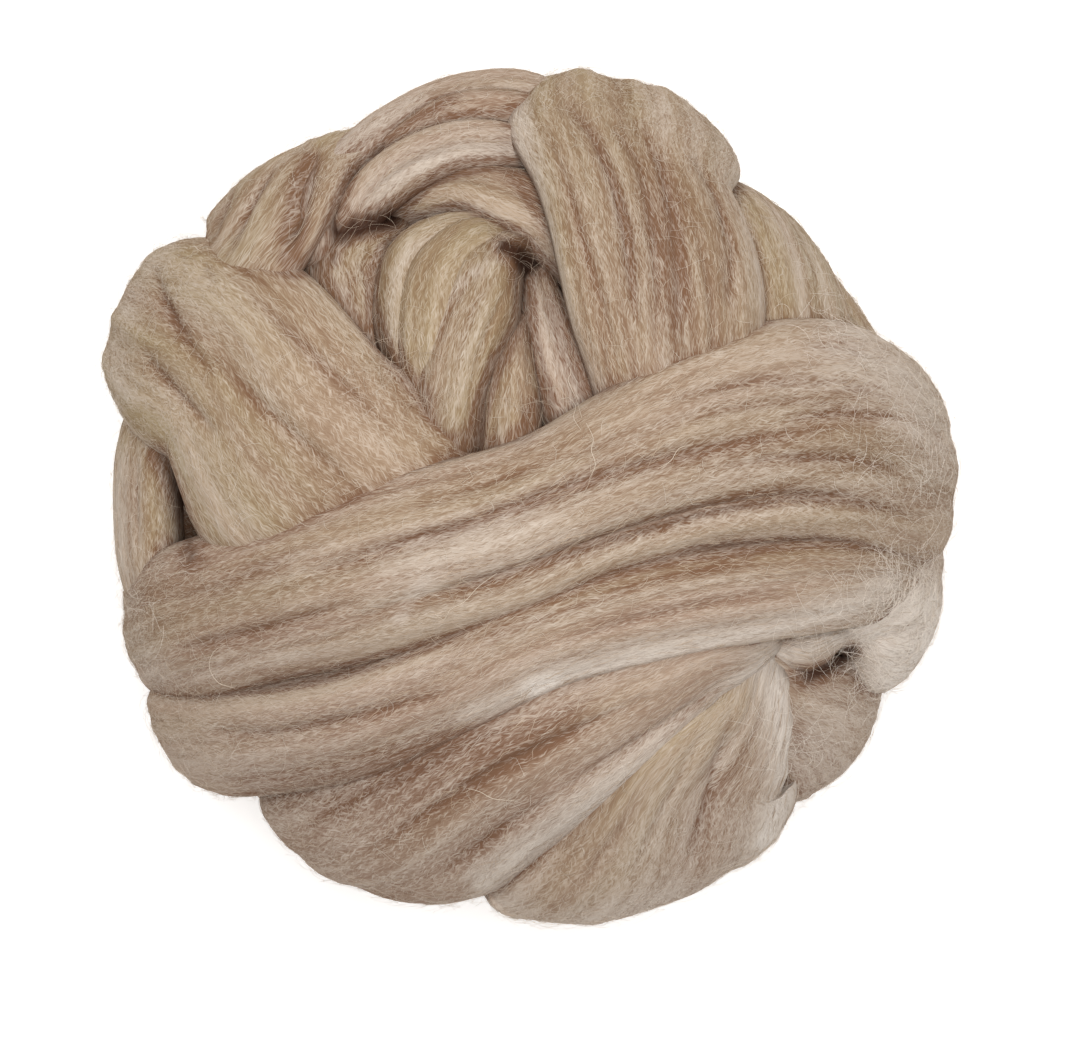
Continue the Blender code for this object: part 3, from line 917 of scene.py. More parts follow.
def crowding(surface):
    """Share of the pushes at which a point lands in another pass, 0 to 1.
    It is pushed along its normal, and along its normal with a droop."""
    base = surface["points"] - np.array([0, 0, MIDDLE_HEIGHT])
    total = np.zeros(base.shape[:2])
    low, high = base.reshape(-1, 3).min(0) - SEARCH, base.reshape(-1, 3).max(0) + SEARCH
    others = [
        other for other in surfaces
        if other is not surface
        and not {other["name"], surface["name"]} <= KNOT_STRANDS
        and ((other["middle"] > low) & (other["middle"] < high)).all(1).any()
    ]
    for push in PUSHES:
        deepest = np.full(base[..., 0].size, -1.0)
        for heading in (surface["normal"], unit(surface["normal"] - np.array([0, 0, DROOP]))):
            there = (base + push * heading).reshape(-1, 3)
            for other in others:
                deepest = np.maximum(deepest, fill_of(other, there, 0.0))
        total += np.clip(deepest / FULL_CROWD, 0, 1).reshape(total.shape) / len(PUSHES)
    return total


for surface in surfaces:
    surface["crowd"] = crowding(surface)
print("mean crowding:", {item["name"]: round(float(item["crowd"].mean()), 2) for item in surfaces})

# %% [markdown]
# ## Painted light on the rims
#
# Where a pass turns over an edge, its loosest fibres stand off and catch the
# light, so the rim looks paler and greyer. That light is painted into the
# colour as painted highlights, and so are a few on lit lobes. The photograph
# shows where, and painting these places by a short list of lines keeps them
# easy to change. Each line of pixels again has a height, with a strength and
# a half width.

# %% Table of painted highlights
PAINTED_LIGHT_LINES = [
    # piece, height, strength, half width, line
    ("lower_belt", 88, 0.55, 2.6, [
        (245, 788), (330, 772), (380, 755), (430, 728), (480, 708), (550, 682),
    ]),
    ("lower_belt", 92, 0.95, 3.0, [
        (535, 684), (565, 674), (640, 655), (700, 642), (790, 625), (860, 605), (892, 588),
    ]),
    ("lower_pass", 75, 1.00, 3.8, [
        (485, 880), (520, 852), (560, 822), (600, 795), (650, 760), (700, 722), (745, 682), (765, 655),
    ]),
    ("lower_pass", 70, 1.50, 10.0, [(872, 630), (895, 612), (930, 625), (930, 655), (900, 665)]),
    ("right_pass", 78, 1.15, 4.5, [(768, 652), (778, 695), (785, 745), (787, 795), (772, 840)]),
    ("right_pass", 80, 0.50, 3.0, [
        (515, 95), (524, 160), (536, 230), (550, 300), (570, 360), (584, 400),
    ]),
    ("right_pass", 50, 0.45, 4.0, [(500, 900), (545, 925), (610, 905), (700, 890), (770, 845)]),
    ("rim_loop", 68, 0.45, 3.0, [
        (314, 250), (312, 220), (318, 195), (336, 163), (366, 130), (420, 102),
    ]),
    ("inner_loop", 70, 0.42, 3.0, [(365, 210), (390, 182), (422, 162), (460, 148), (508, 146)]),
    ("knot_rim", 85, 0.40, 2.0, [(440, 240), (412, 252), (396, 280), (391, 315), (394, 345)]),
    ("knot", 88, 0.55, 1.2, [(488, 268), (462, 284), (446, 308), (438, 340)]),
    ("knot_right", 88, 0.30, 4.0, [(545, 320), (556, 365), (568, 405)]),
    ("knot_left", 78, 0.20, 2.2, [(378, 240), (348, 250), (322, 280)]),
    ("belt", 104, 0.18, 5.0, [(380, 585), (420, 565), (470, 550), (540, 530)]),
    ("belt", 104, 0.40, 1.2, [(432, 570), (416, 594), (398, 620)]),
    ("belt", 102, 0.12, 10.0, [(430, 555), (520, 530), (620, 500), (720, 475), (820, 460)]),
    ("belt", 80, 0.50, 9.0, [(860, 330), (915, 390), (945, 450)]),
    ("belt", 80, 0.40, 5.0, [(125, 600), (130, 640), (145, 670)]),
    ("left_pass", 70, 0.35, 4.0, [(160, 245), (128, 290), (113, 345), (118, 395)]),
    ("rim_ring", 55, 0.45, 4.5, [(120, 470), (118, 520), (124, 570)]),
    ("side_pass", 60, 0.24, 20.0, [(800, 740), (850, 720)]),
    ("lower_pass", 80, 0.90, 3.0, [(790, 655), (812, 644), (830, 634)]),
    ("right_pass", 78, 0.16, 12.0, [(720, 720), (700, 800), (660, 870)]),
    ("right_pass", 74, 0.22, 9.0, [(690, 120), (735, 170), (752, 230), (745, 290)]),
    ("right_ring", 60, 0.20, 5.0, [(790, 225), (815, 270), (835, 305)]),
]
print("pale rims:", len(PAINTED_LIGHT_LINES))

# %% [markdown]
# ## Painted shade in the hollows
#
# The deepest gaps are painted almost black-brown as painted shade, and a soft
# painted shade lies on a few passes. A line for "all" darkens every piece that
# it crosses.

# %% Table of painted shade
PAINTED_SHADE_LINES = [
    # piece, height, strength, half width, line
    ("all", 82, 1.80, 2.6, [(506, 250), (520, 256), (530, 264)]),
    ("all", 70, 1.80, 2.6, [(352, 234), (374, 228), (392, 223)]),
    ("all", 65, 0.80, 2.2, [(300, 235), (299, 255), (298, 278)]),
    ("all", 72, 1.70, 2.0, [(804, 675), (822, 669), (840, 660), (851, 650)]),
    ("all", 78, 0.30, 1.4, [(786, 640), (789, 668), (793, 700), (799, 745)]),
    ("all", 92, 0.20, 12.0, [(430, 290), (470, 380)]),
    ("left_pass", 80, 0.07, 30.0, [(200, 300), (350, 430)]),
    ("rim_loop", 68, 0.35, 3.0, [(338, 235), (347, 200), (370, 163), (415, 125), (460, 108)]),
    ("belt", 90, 0.18, 14.0, [(150, 640), (300, 610)]),
    ("all", 66, 1.20, 2.6, [(163, 458), (178, 488), (190, 525), (198, 556)]),
    ("all", 86, 0.70, 2.0, [(521, 270), (523, 300), (516, 335), (506, 362)]),
    ("all", 92, 0.70, 2.4, [(548, 395), (538, 412), (524, 436)]),
    ("all", 84, 0.55, 1.8, [(378, 345), (398, 372), (430, 402)]),
    ("all", 68, 0.75, 1.8, [(336, 262), (335, 222), (355, 168), (400, 130), (450, 100)]),
    ("all", 70, 0.50, 1.4, [(345, 238), (365, 222), (400, 207), (430, 188), (460, 173), (512, 166)]),
    ("all", 100, 0.40, 1.3, [(260, 680), (350, 668), (450, 645), (550, 615), (650, 580), (750, 560)]),
    ("lower_belt", 84, 0.45, 5.0, [(250, 790), (330, 772), (400, 752), (450, 735)]),
    ("lower_pass", 84, 0.40, 6.0, [(300, 795), (400, 772), (480, 745), (560, 712)]),
    ("lower_pass", 75, 0.25, 12.0, [(340, 850), (420, 845), (500, 800)]),
    ("right_pass", 88, 0.32, 12.0, [(640, 240), (655, 300), (650, 350)]),
    ("knot_left", 78, 0.58, 8.0, [(345, 285), (355, 330)]),
    ("all", 68, 0.50, 1.4, [(309, 158), (302, 200), (303, 240)]),
]
print("dark hollows:", len(PAINTED_SHADE_LINES))

# %% [markdown]
# ## Painting by lines
#
# Both tables are read in the same way. A point close to a line gets its
# strength, which falls off as a bell curve with the distance in plan. It
# fades in over a height, because only the upper half was seen.

# %% Painted light and shade at each point
LINE_DOTS = 10
LINE_FADE = 18
PALE_LOW, DARK_LOW = 22, 34


def near_lines(table, piece, points, low):
    """Sum over the piece's lines of strength times exp(-(distance / half
    width) ** 2), which fades in over a height from low upwards."""
    x, y, z = points[..., 0], points[..., 1], points[..., 2]
    total = np.zeros_like(x)
    for owner, height, strength, half_width, line in table:
        if owner not in (piece, "all"):
            continue
        best = np.full(x.shape, 1e9)
        for dot in dots_along(line, height, LINE_DOTS):
            best = np.minimum(best, (x - dot[0]) ** 2 + (y - dot[1]) ** 2)
        total += strength * np.exp(-best / half_width ** 2) * np.clip((z - low) / LINE_FADE, 0, 1)
    return total


for surface in surfaces:
    surface["painted_light"] = near_lines(PAINTED_LIGHT_LINES, surface["name"], surface["points"], PALE_LOW)
    surface["dark"] = near_lines(PAINTED_SHADE_LINES, surface["name"], surface["points"], DARK_LOW)
print("palest point:", round(max(float(item["painted_light"].max()) for item in surfaces), 2))

# %% [markdown]
# ## Wool shading
#
# Up close, combed wool is thousands of parallel, slightly wavy fibres. No mesh
# can hold them all, so the surface's material draws them: stretched noise runs
# along the pass, bent by a finer noise that gives the wave, or crimp. Wiring
# such a material node by node is long, so a small class turns sockets into
# numbers that Python can add and multiply.

# %% Shader helpers
class Value:
    """A socket that takes part in Python maths by adding Math nodes."""

    def __init__(self, tree, socket):
        self.tree = tree
        self.socket = socket

    def _maths(self, operation, first, second):
        node = self.tree.tree.nodes.new("ShaderNodeMath")
        node.operation = operation
        for slot, item in enumerate((first, second)):
            if isinstance(item, Value):
                self.tree.tree.links.new(item.socket, node.inputs[slot])
            else:
                node.inputs[slot].default_value = item
        return Value(self.tree, node.outputs[0])

    def __add__(self, other):
        return self._maths("ADD", self, other)

    def __radd__(self, other):
        return self._maths("ADD", other, self)

    def __sub__(self, other):
        return self._maths("SUBTRACT", self, other)

    def __rsub__(self, other):
        return self._maths("SUBTRACT", other, self)

    def __mul__(self, other):
        return self._maths("MULTIPLY", self, other)

    def __rmul__(self, other):
        return self._maths("MULTIPLY", other, self)

    def atleast(self, other):
        return self._maths("MAXIMUM", self, other)

    def atmost(self, other):
        return self._maths("MINIMUM", self, other)


class Tree:
    """A material's node tree, with one method that adds any node."""

    def __init__(self, name):
        self.material = bpy.data.materials.new(name)
        self.material.use_nodes = True
        self.tree = self.material.node_tree
        self.shader = self.tree.nodes["Principled BSDF"]

    def node(self, kind, settings=None, inputs=None, output=0):
        """Add a node, set its settings, then fill its sockets."""
        node = self.tree.nodes.new(kind)
        for key, value in (settings or {}).items():
            setattr(node, key, value)
        for key, value in (inputs or {}).items():
            self.feed(node.inputs[key], value)
        return Value(self, node.outputs[output])

    def feed(self, socket, value):
        """Link a Value to a socket, or set the socket's own value."""
        if isinstance(value, Value):
            self.tree.links.new(value.socket, socket)
        else:
            socket.default_value = value

    def blend(self, factor, first, second):
        """Mix two colours: first where factor is 0, second where it is 1."""
        node = self.tree.nodes.new("ShaderNodeMix")
        node.data_type = "RGBA"
        for key, value in ((0, factor), (6, first), (7, second)):
            self.feed(node.inputs[key], value)
        return Value(self, node.outputs[2])


print("operators:", [key for key in vars(Value) if key.startswith("__r")])

# %% [markdown]
# ## The wool's colours
#
# The base tone drifts between olive and rosy oat, and greys a little by pass,
# towards the foot and under painted light. Painted shade turns hollows and the
# gaps between clumps brown, and deep hollows nearly black. Raised fibres go
# pale, and painted highlights make edges and rims pale. Each is one Mix node,
# so the order of the lines is the order of the layers.

# %% The wool material
OLIVE_OAT = (0.358, 0.275, 0.166, 1.0)
ROSY_OAT = (0.425, 0.313, 0.234, 1.0)
GREY_OAT = (0.396, 0.316, 0.264, 1.0)
SHADE_BROWN_OAT = (0.165, 0.082, 0.047, 1.0)
PALE_OAT = (0.604, 0.530, 0.462, 1.0)
CLOUD_OAT = (0.800, 0.745, 0.690, 1.0)
DEEP_SHADE_BROWN = (0.052, 0.024, 0.016, 1.0)


def wool_material(name):
    """Stretched noise for tone, clumps and single fibres, all on the fibre
    map, whose first axis runs along the pass and second across it, in mm."""
    tree = Tree(name)
    place = tree.node("ShaderNodeUVMap", {"uv_map": "Fibre"})
    split = tree.tree.nodes.new("ShaderNodeSeparateXYZ")
    tree.feed(split.inputs[0], place)
    along, across = Value(tree, split.outputs[0]), Value(tree, split.outputs[1])

    def streak(long_mm, wide_mm, seed, detail=1.0, bend=0.0):
        """Noise that is long_mm by wide_mm, bent sideways by bend mm."""
        point = tree.node("ShaderNodeCombineXYZ", None, {
            0: along * (1 / long_mm), 1: (across + bend) * (1 / wide_mm), 2: seed,
        })
        return tree.node("ShaderNodeTexNoise", {"noise_dimensions": "3D"}, {
            "Vector": point, "Scale": 1.0, "Detail": detail, "Roughness": 0.55,
        })

    def number(key):
        """A number kept on the mesh's points."""
        return tree.node("ShaderNodeAttribute", {"attribute_name": key}, output=2)

    # The crimp is a small wave, and the drift turns whole clumps a little.
    crimp = (streak(1.1, 1.5, 1.5) - 0.5) * 0.55
    drift = (streak(11.0, 5.0, 2.5) - 0.5) * 1.3
    straight = streak(2.3, 0.23, 6.5, 1.0, crimp + drift)
    leftward = streak(1.5, 0.21, 7.5, 0.0, crimp + drift + along * 0.24)
    rightward = streak(1.5, 0.21, 8.5, 0.0, crimp + drift - along * 0.20)
    fibre = straight.atleast(leftward).atleast(rightward) - 0.57
    clump = streak(22.0, 1.8, 5.5, 3.0, drift) - 0.5
    broad = streak(75.0, 6.0, 3.5, 1.0) - 0.5
    warm = streak(70.0, 8.0, 4.5, 1.0) - 0.5

    rosy = (warm * 2.4 + 0.42 + number("warmth")).atleast(0.0).atmost(1.0)
    colour = tree.blend(rosy, OLIVE_OAT, ROSY_OAT)
    # The grey also follows the painted light of the rims.
    grey = (number("grey") + broad * 0.8 + number("painted_light") * 0.7).atleast(0.0).atmost(1.0)
    colour = tree.blend(grey, colour, GREY_OAT)
    # Painted shade: creases, crowding and the shade lines go brown, along with the gaps between clumps and
    # fibres.
    dark = number("painted_shade") * 0.98 - clump * 0.8 - fibre * 0.9 - broad * 0.55 + 0.09
    colour = tree.blend(dark.atleast(0.0).atmost(0.9), colour, SHADE_BROWN_OAT)
    # Painted highlight: rims and the band's edges go pale, with raised fibres.
    rim = (number("painted_light") * 0.8).atmost(0.62)
    light = fibre * 1.6 + clump * 0.8 + broad * 0.35 + number("edge") * 0.12 + rim + 0.06
    colour = tree.blend(light.atleast(0.0).atmost(0.9), colour, PALE_OAT)
    # Painted highlight: where the painted light is strongest it goes near white.
    cloud = (number("painted_light") - 0.75).atmost(0.65) * (fibre * 2.4 + 0.8)
    colour = tree.blend(cloud.atleast(0.0).atmost(0.75), colour, CLOUD_OAT)
    # Painted shade: the deepest gaps go nearly black.
    colour = tree.blend(number("deep_shade"), colour, DEEP_SHADE_BROWN)
    tree.feed(tree.shader.inputs["Base Color"], colour)

    bump = tree.node("ShaderNodeBump", None, {
        "Height": fibre * 0.6 + clump * 0.5, "Distance": 0.0004, "Strength": 0.8,
    })
    tree.feed(tree.shader.inputs["Normal"], bump)
    tree.shader.inputs["Roughness"].default_value = 0.92
    tree.shader.inputs["Specular IOR Level"].default_value = 0.0
    return tree.material


wool = wool_material("natural_wool")
print("wool nodes:", len(wool.node_tree.nodes))

# %% [markdown]
# ## From grid to mesh
#
# A grid of points becomes quads, row by row. A ring joins its last row to its
# first, and a pass with two ends gets a fan at each. The fibre map, and the
# numbers that the material reads, are stored on the mesh.

# %% Arrays to a mesh
def grid_faces(rows, columns, spans):
    """Quads between neighbouring rows and columns, columns wrapping round."""
    i, j = np.meshgrid(np.arange(spans), np.arange(columns), indexing="ij")
    i1, j1 = (i + 1) % rows, (j + 1) % columns
    faces = np.stack([i * columns + j, i * columns + j1, i1 * columns + j1, i1 * columns + j], -1)
    return faces.reshape(-1, 4)


def add_mesh(name, verts, quads, triangles, material):
    """A smooth mesh object at the origin, from arrays of metres and indices."""
    mesh = bpy.data.meshes.new(name)
    mesh.vertices.add(len(verts))
    mesh.vertices.foreach_set("co", verts.astype(np.float32).ravel())
    corners = np.concatenate([quads.ravel(), triangles.ravel()]).astype(np.int32)
    sizes = np.concatenate([np.full(len(quads), 4), np.full(len(triangles), 3)])
    starts = np.concatenate([[0], np.cumsum(sizes)[:-1]]).astype(np.int32)
    mesh.loops.add(len(corners))
    mesh.loops.foreach_set("vertex_index", corners)
    mesh.polygons.add(len(sizes))
    mesh.polygons.foreach_set("loop_start", starts)
    mesh.update(calc_edges=True)
    mesh.validate()
    mesh.shade_smooth()
    mesh.materials.append(material)
    item = bpy.data.objects.new(name, mesh)
    bpy.context.scene.collection.objects.link(item)
    return item


def triangle_count(item):
    """A face of n corners makes n - 2 triangles."""
    return len(item.data.loops) - 2 * len(item.data.polygons)


print("quads of a ring of 4 rows by 3 columns:", len(grid_faces(4, 3, 4)))

# %% [markdown]
# ## Numbers for the material
#
# The material can't know where a hollow or a rim is, so each point of the mesh
# carries its painted shade and painted light as named numbers, with its tints.
# The fibre map is a UV map in millimetres. It needs the full turn at a seam, so
# it is worked out corner by corner.

# %% Mesh of a pass
MAP_SHIFT = 37.0
CREASE_SHADE, CROWD_SHADE, RIDGE_SHADE = 2.6, 1.3, 0.25
PAINTED_SHADE_RANGE = (-0.5, 1.8)
DEEP_FROM, DEEP_GAIN, DEEP_MOST = 0.85, 1.2, 0.9
FOOT_FROM, FOOT_SPAN = 15, 50
EDGE_FROM, EDGE_SPAN = 0.80, 0.20
FOOT_WARMTH, FOOT_GREY = 0.45, 0.20


def corner_map(surface, rows, spans):
    """Distance along and round the pass at the four corners of each quad."""
    i, j = np.meshgrid(np.arange(spans), np.arange(surface["a"].shape[1]), indexing="ij")
    step = surface["length"] / spans
    edges = np.append(surface["a"][0], surface["around"])
    s0, s1, a0, a1 = i * step, (i + 1) * step, edges[j], edges[j + 1]
    corners = [(s0, a0), (s0, a1), (s1, a1), (s1, a0)]
    return np.stack([np.stack(pair, -1) for pair in corners], 2).reshape(-1, 2)


def point_numbers(surface, warmth, grey):
    """What the material reads: the painted shade adds up crease, crowding, lack
    of ridge and the painted shade lines, and wool is rosier and greyer towards
    the picture's foot."""
    foot = np.clip((-surface["points"][..., 1] - FOOT_FROM) / FOOT_SPAN, 0, 1)
    painted_shade = surface["crease"] / CREASE_SHADE + surface["crowd"] * CROWD_SHADE
    painted_shade = painted_shade - surface["ridge"] * RIDGE_SHADE + surface["dark"]
    return {
        "painted_shade": np.clip(painted_shade, *PAINTED_SHADE_RANGE),
        "painted_light": np.clip(surface["painted_light"] - surface["dark"], 0, None),
        "deep_shade": np.clip((surface["dark"] - DEEP_FROM) * DEEP_GAIN, 0, DEEP_MOST),
        "warmth": warmth + FOOT_WARMTH * foot,
        "grey": grey + FOOT_GREY * foot,
        "edge": np.clip((surface["edge"] - EDGE_FROM) / EDGE_SPAN, 0, 1),
    }


def add_pass(surface, warmth, grey):
    """The pass as a closed mesh, with its fibre map and its numbers."""
    points = surface["points"]
    rows, columns = points.shape[:2]
    spans = rows if surface["closed"] else rows - 1
    verts = points.reshape(-1, 3) * MM
    quads = grid_faces(rows, columns, spans)
    triangles = np.zeros((0, 3), dtype=int)
    if not surface["closed"]:
        verts = np.vstack([verts, verts[:columns].mean(0), verts[-columns:].mean(0)])
        j = np.arange(columns)
        j1 = (j + 1) % columns
        end = (rows - 1) * columns
        first, last = rows * columns, rows * columns + 1
        triangles = np.vstack([
            np.column_stack([0 * j + first, j1, j]),
            np.column_stack([0 * j + last, end + j, end + j1]),
        ])
    item = add_mesh(surface["name"], verts, quads, triangles, wool)
    mesh = item.data

    flat_map = np.concatenate([corner_map(surface, rows, spans), np.zeros((3 * len(triangles), 2))])
    flat_map = flat_map + np.array([0.0, MAP_SHIFT * (1 + len(bpy.data.meshes))])
    layer = mesh.uv_layers.new(name="Fibre")
    layer.uv.foreach_set("vector", flat_map.astype(np.float32).ravel())
    poles = np.zeros(len(verts) - rows * columns)
    for key, values in point_numbers(surface, warmth, grey).items():
        values = np.append(values.ravel(), poles).astype(np.float32)
        mesh.attributes.new(key, "FLOAT", "POINT").data.foreach_set("value", values)
    return item


pieces = [add_pass(surface, row[4], row[5]) for surface, row in zip(surfaces, PIECES)]
print("triangles in passes:", sum(triangle_count(piece) for piece in pieces))

# %% [markdown]
# ## Faces that point outwards
#
# A section that runs the other way round gives a shell that is inside out.
# Its signed volume tells: where that is negative, the normals are flipped.

# %% Turn the shells
def volume(item):
    """Signed volume: a sixth of the sum of corner triple products."""
    work = bmesh.new()
    work.from_mesh(item.data)
    result = work.calc_volume(signed=True)
    work.free()
    return result


def turn_outwards(item):
    """Flip a closed mesh whose signed volume is negative."""
    if volume(item) < 0:
        item.data.flip_normals()


for piece in pieces:
    turn_outwards(piece)
print("smallest volume, cm3:", round(min(volume(p) for p in pieces) * 1e6, 1))

# %% [markdown]
# ## The heart
#
# Between the passes a few dark gaps look in. What shows there is more wool,
# wound underneath, so a plain egg of it fills the middle.

# %% Heart
HEART_RADIUS, HEART_RISE, HEART_DROP = 74.0, 32.0, 46.0
# The heart's colour carries a fixed painted shade, as if creased and crowded all over.
HEART_CREASE_SHADE, HEART_CROWD_SHADE = 2.0, 0.8
HEART_SWELL, HEART_LONG, HEART_WIDE = 0.02, 18.0, 4.0
HEART_ROWS, HEART_COLUMNS = 44, 96
POLE_GAP, DOWN_MM = 0.02, 60


def heart_surface(rows, columns):
    """Ellipsoid: (cos a sin d, sin a sin d, cos d) times its half axes, with
    soft noise. Also the distance round it of each point."""
    down = np.linspace(POLE_GAP, np.pi - POLE_GAP, rows)[:, None]
    around = np.linspace(0, 2 * np.pi, columns, endpoint=False)[None, :]
    x = HEART_RADIUS * np.sin(down) * np.cos(around)
    y = HEART_RADIUS * np.sin(down) * np.sin(around)
    z = np.cos(down) * np.where(np.cos(down) > 0, HEART_RISE, HEART_DROP) + 0 * x
    round_mm = HEART_RADIUS * (around + 0 * down)
    period = 2 * np.pi * HEART_RADIUS
    down_mm = DOWN_MM * down + 0 * around
    noise = lattice_noise(round_mm, down_mm, HEART_LONG, HEART_WIDE, period, 5)
    swell = 1 + HEART_SWELL * noise
    return np.stack([x * swell, y * swell, z * swell + MIDDLE_HEIGHT], -1), round_mm


heart_points, heart_round = heart_surface(HEART_ROWS, HEART_COLUMNS)
nothing = 0 * heart_round
heart = {
    "name": "heart", "closed": False, "points": heart_points, "a": heart_round,
    "length": HEART_RADIUS * np.pi, "around": 2 * np.pi * HEART_RADIUS,
    "crease": nothing + HEART_CREASE_SHADE, "crowd": nothing + HEART_CROWD_SHADE,
    "ridge": nothing, "edge": nothing, "painted_light": nothing, "dark": nothing,
}
heart_piece = add_pass(heart, 0.0, 0.0)
turn_outwards(heart_piece)
pieces.append(heart_piece)
print("heart, cm3:", round(volume(heart_piece) * 1e6, 1))

# %% [markdown]
# ## Loose fibres
#
# What makes wool look like wool is the fibres on its surface. Blender's hair
# could make them, but every piece here is a mesh, so each fibre is a thin
# closed tube. It follows the pass's own grid of points, which is read between
# its rows and columns.

# %% Reading a pass's grid
def read_grid(grid, i, j, closed):
    """Bilinear reading of a grid at fractional rows and columns."""
    rows = grid.shape[0]
    i0, j0 = np.floor(i).astype(int), np.floor(j).astype(int)
    fi, fj = (i - i0)[..., None], (j - j0)[..., None]
    if closed:
        i1 = (i0 + 1) % rows
        i0 = i0 % rows
    else:
        i1 = np.clip(i0 + 1, 0, rows - 1)
        i0 = np.clip(i0, 0, rows - 1)
    j1 = np.clip(j0 + 1, 0, grid.shape[1] - 1)
    j0 = np.clip(j0, 0, grid.shape[1] - 1)
    return blend_four(grid, i0, i1, j0, j1, fi, fj)


belt_top = read_grid(surfaces[0]["points"], np.array([0.5]), np.array([40.0]), True)
print("a point of the belt, mm:", np.round(belt_top[0], 1).tolist())

# %% [markdown]
# ## Paths of the fibres
#
# Some fibres lie along the pass, with a fine wave. Others leave it and stand
# off as fuzz, most of all where the band turns over the rim. A fibre starts at
# a random spot of a pass's outer side and wanders off in small steps.

# %% Paths of the fibres
OUTER_SHARE = 0.45
WANDER_TURNS, WANDER_SHARE, WAVE_SHARE = (0.6, 1.8), (0.2, 1), (0.3, 1)
LIFT_POWER, ARCH = 1.6, 0.35
MOST_ROWS = 8


def fibre_paths(surface, number, kind, rng):
    """Paths over a pass: straight along it with a sine wave across, a slow
    drift, and a lift above the surface that grows as the fibre leaves it."""
    rows = surface["points"].shape[0]
    columns, closed = surface["columns"], surface["closed"]
    column_mm = surface["around"] * OUTER_SHARE / columns

    def draw(low, high):
        """A random number for each fibre, as a column."""
        return rng.uniform(low, high, number)[:, None]

    knots = kind["knots"]
    long_mm = draw(*kind["long"])
    t = np.linspace(0, 1, knots)[None, :]
    angle = rng.normal(0, kind["stray"], number)[:, None]
    bend = rng.normal(0, kind["bend"], number)[:, None]
    wander = kind["wander"] * np.sin(2 * np.pi * (draw(0, 1) + t * draw(*WANDER_TURNS)))
    wander = wander * draw(*WANDER_SHARE)
    heading = angle + bend * (t - 0.5) + wander
    ds = long_mm / (knots - 1)
    s = np.cumsum(np.cos(heading) * ds, axis=1) + draw(0, surface["length"])
    wave = kind["wave"] * draw(*WAVE_SHARE)
    wave = wave * np.sin(2 * np.pi * (t * long_mm / draw(*kind["crimp"]) + draw(0, 1)))
    start = draw(*kind["spread"]) * columns
    column = start + (np.cumsum(np.sin(heading) * ds, axis=1) + wave) / column_mm
    sign = np.where(draw(0, 1) < 0.5, -1, 1)
    row = s * sign / (surface["length"] / rows)
    if not closed:
        row = np.clip(np.abs(row) % rows, 0, rows - 1.001)
    base = read_grid(surface["points"], row, column, closed)
    out = unit(read_grid(surface["normal"], row, column, closed))
    rise = draw(0, 1) ** 2 * kind["rise"]
    rise = kind["base"] + rise * (t ** LIFT_POWER * (draw(0, 1) < kind["free"]) + np.sin(np.pi * t) * ARCH)
    path = base + out * rise[:, :, None]
    good = (column.min(1) > 0.5) & (column.max(1) < columns - 1.5)
    if not closed:
        good &= np.abs(np.diff(row, axis=1)).max(1) < MOST_ROWS
    return path[good], out[good]


print("share of a section that fibres cover:", OUTER_SHARE)

# %% [markdown]
# ## Fibres that show
#
# A fibre under another pass would never be seen, so it is dropped, and so is
# one that would hang below the table. Places with painted shade get fewer
# fibres, because a lit hair over a dark gap would brighten it.

# %% Keep the fibres that show
LEAST_HEIGHT = 0.4
COVER_GROW, COVERED = 0.1, 0.5


def keep_seen(paths, outs, owner, weight, rng):
    """Drop the fibres that another pass covers, and thin them by a weight."""
    if not len(paths):
        return paths, outs
    middle = paths[:, paths.shape[1] // 2]
    shade = near_lines(PAINTED_SHADE_LINES, owner, middle, DARK_LOW)
    keep = rng.uniform(0, 1, len(paths)) < weight(middle) * np.clip(1 - shade, 0, 1)
    ends = np.concatenate([paths[:, 0], middle, paths[:, -1]]) - np.array([0, 0, MIDDLE_HEIGHT])
    covered = np.zeros(len(ends), dtype=bool)
    for other in surfaces:
        if other["name"] != owner:
            covered |= fill_of(other, ends, COVER_GROW) > COVERED
    covered = covered.reshape(3, -1)
    keep &= ~(covered[1] | (covered[0] & covered[2]))
    keep &= paths[..., 2].min(1) > LEAST_HEIGHT
    return paths[keep], outs[keep]


print("fibres stay above", LEAST_HEIGHT, "mm")

# %% [markdown]
# ## Tubes
#
# All fibres of a set are one mesh, worked out as whole arrays, because
# thousands of objects would be slow. Three sides are enough for a tube that
# is thinner than a pixel.

# %% Tubes along paths
TUBE_SIDES = 3
TUBE_TAPER, TUBE_ENDS = 0.35, (0.06, 0.94)


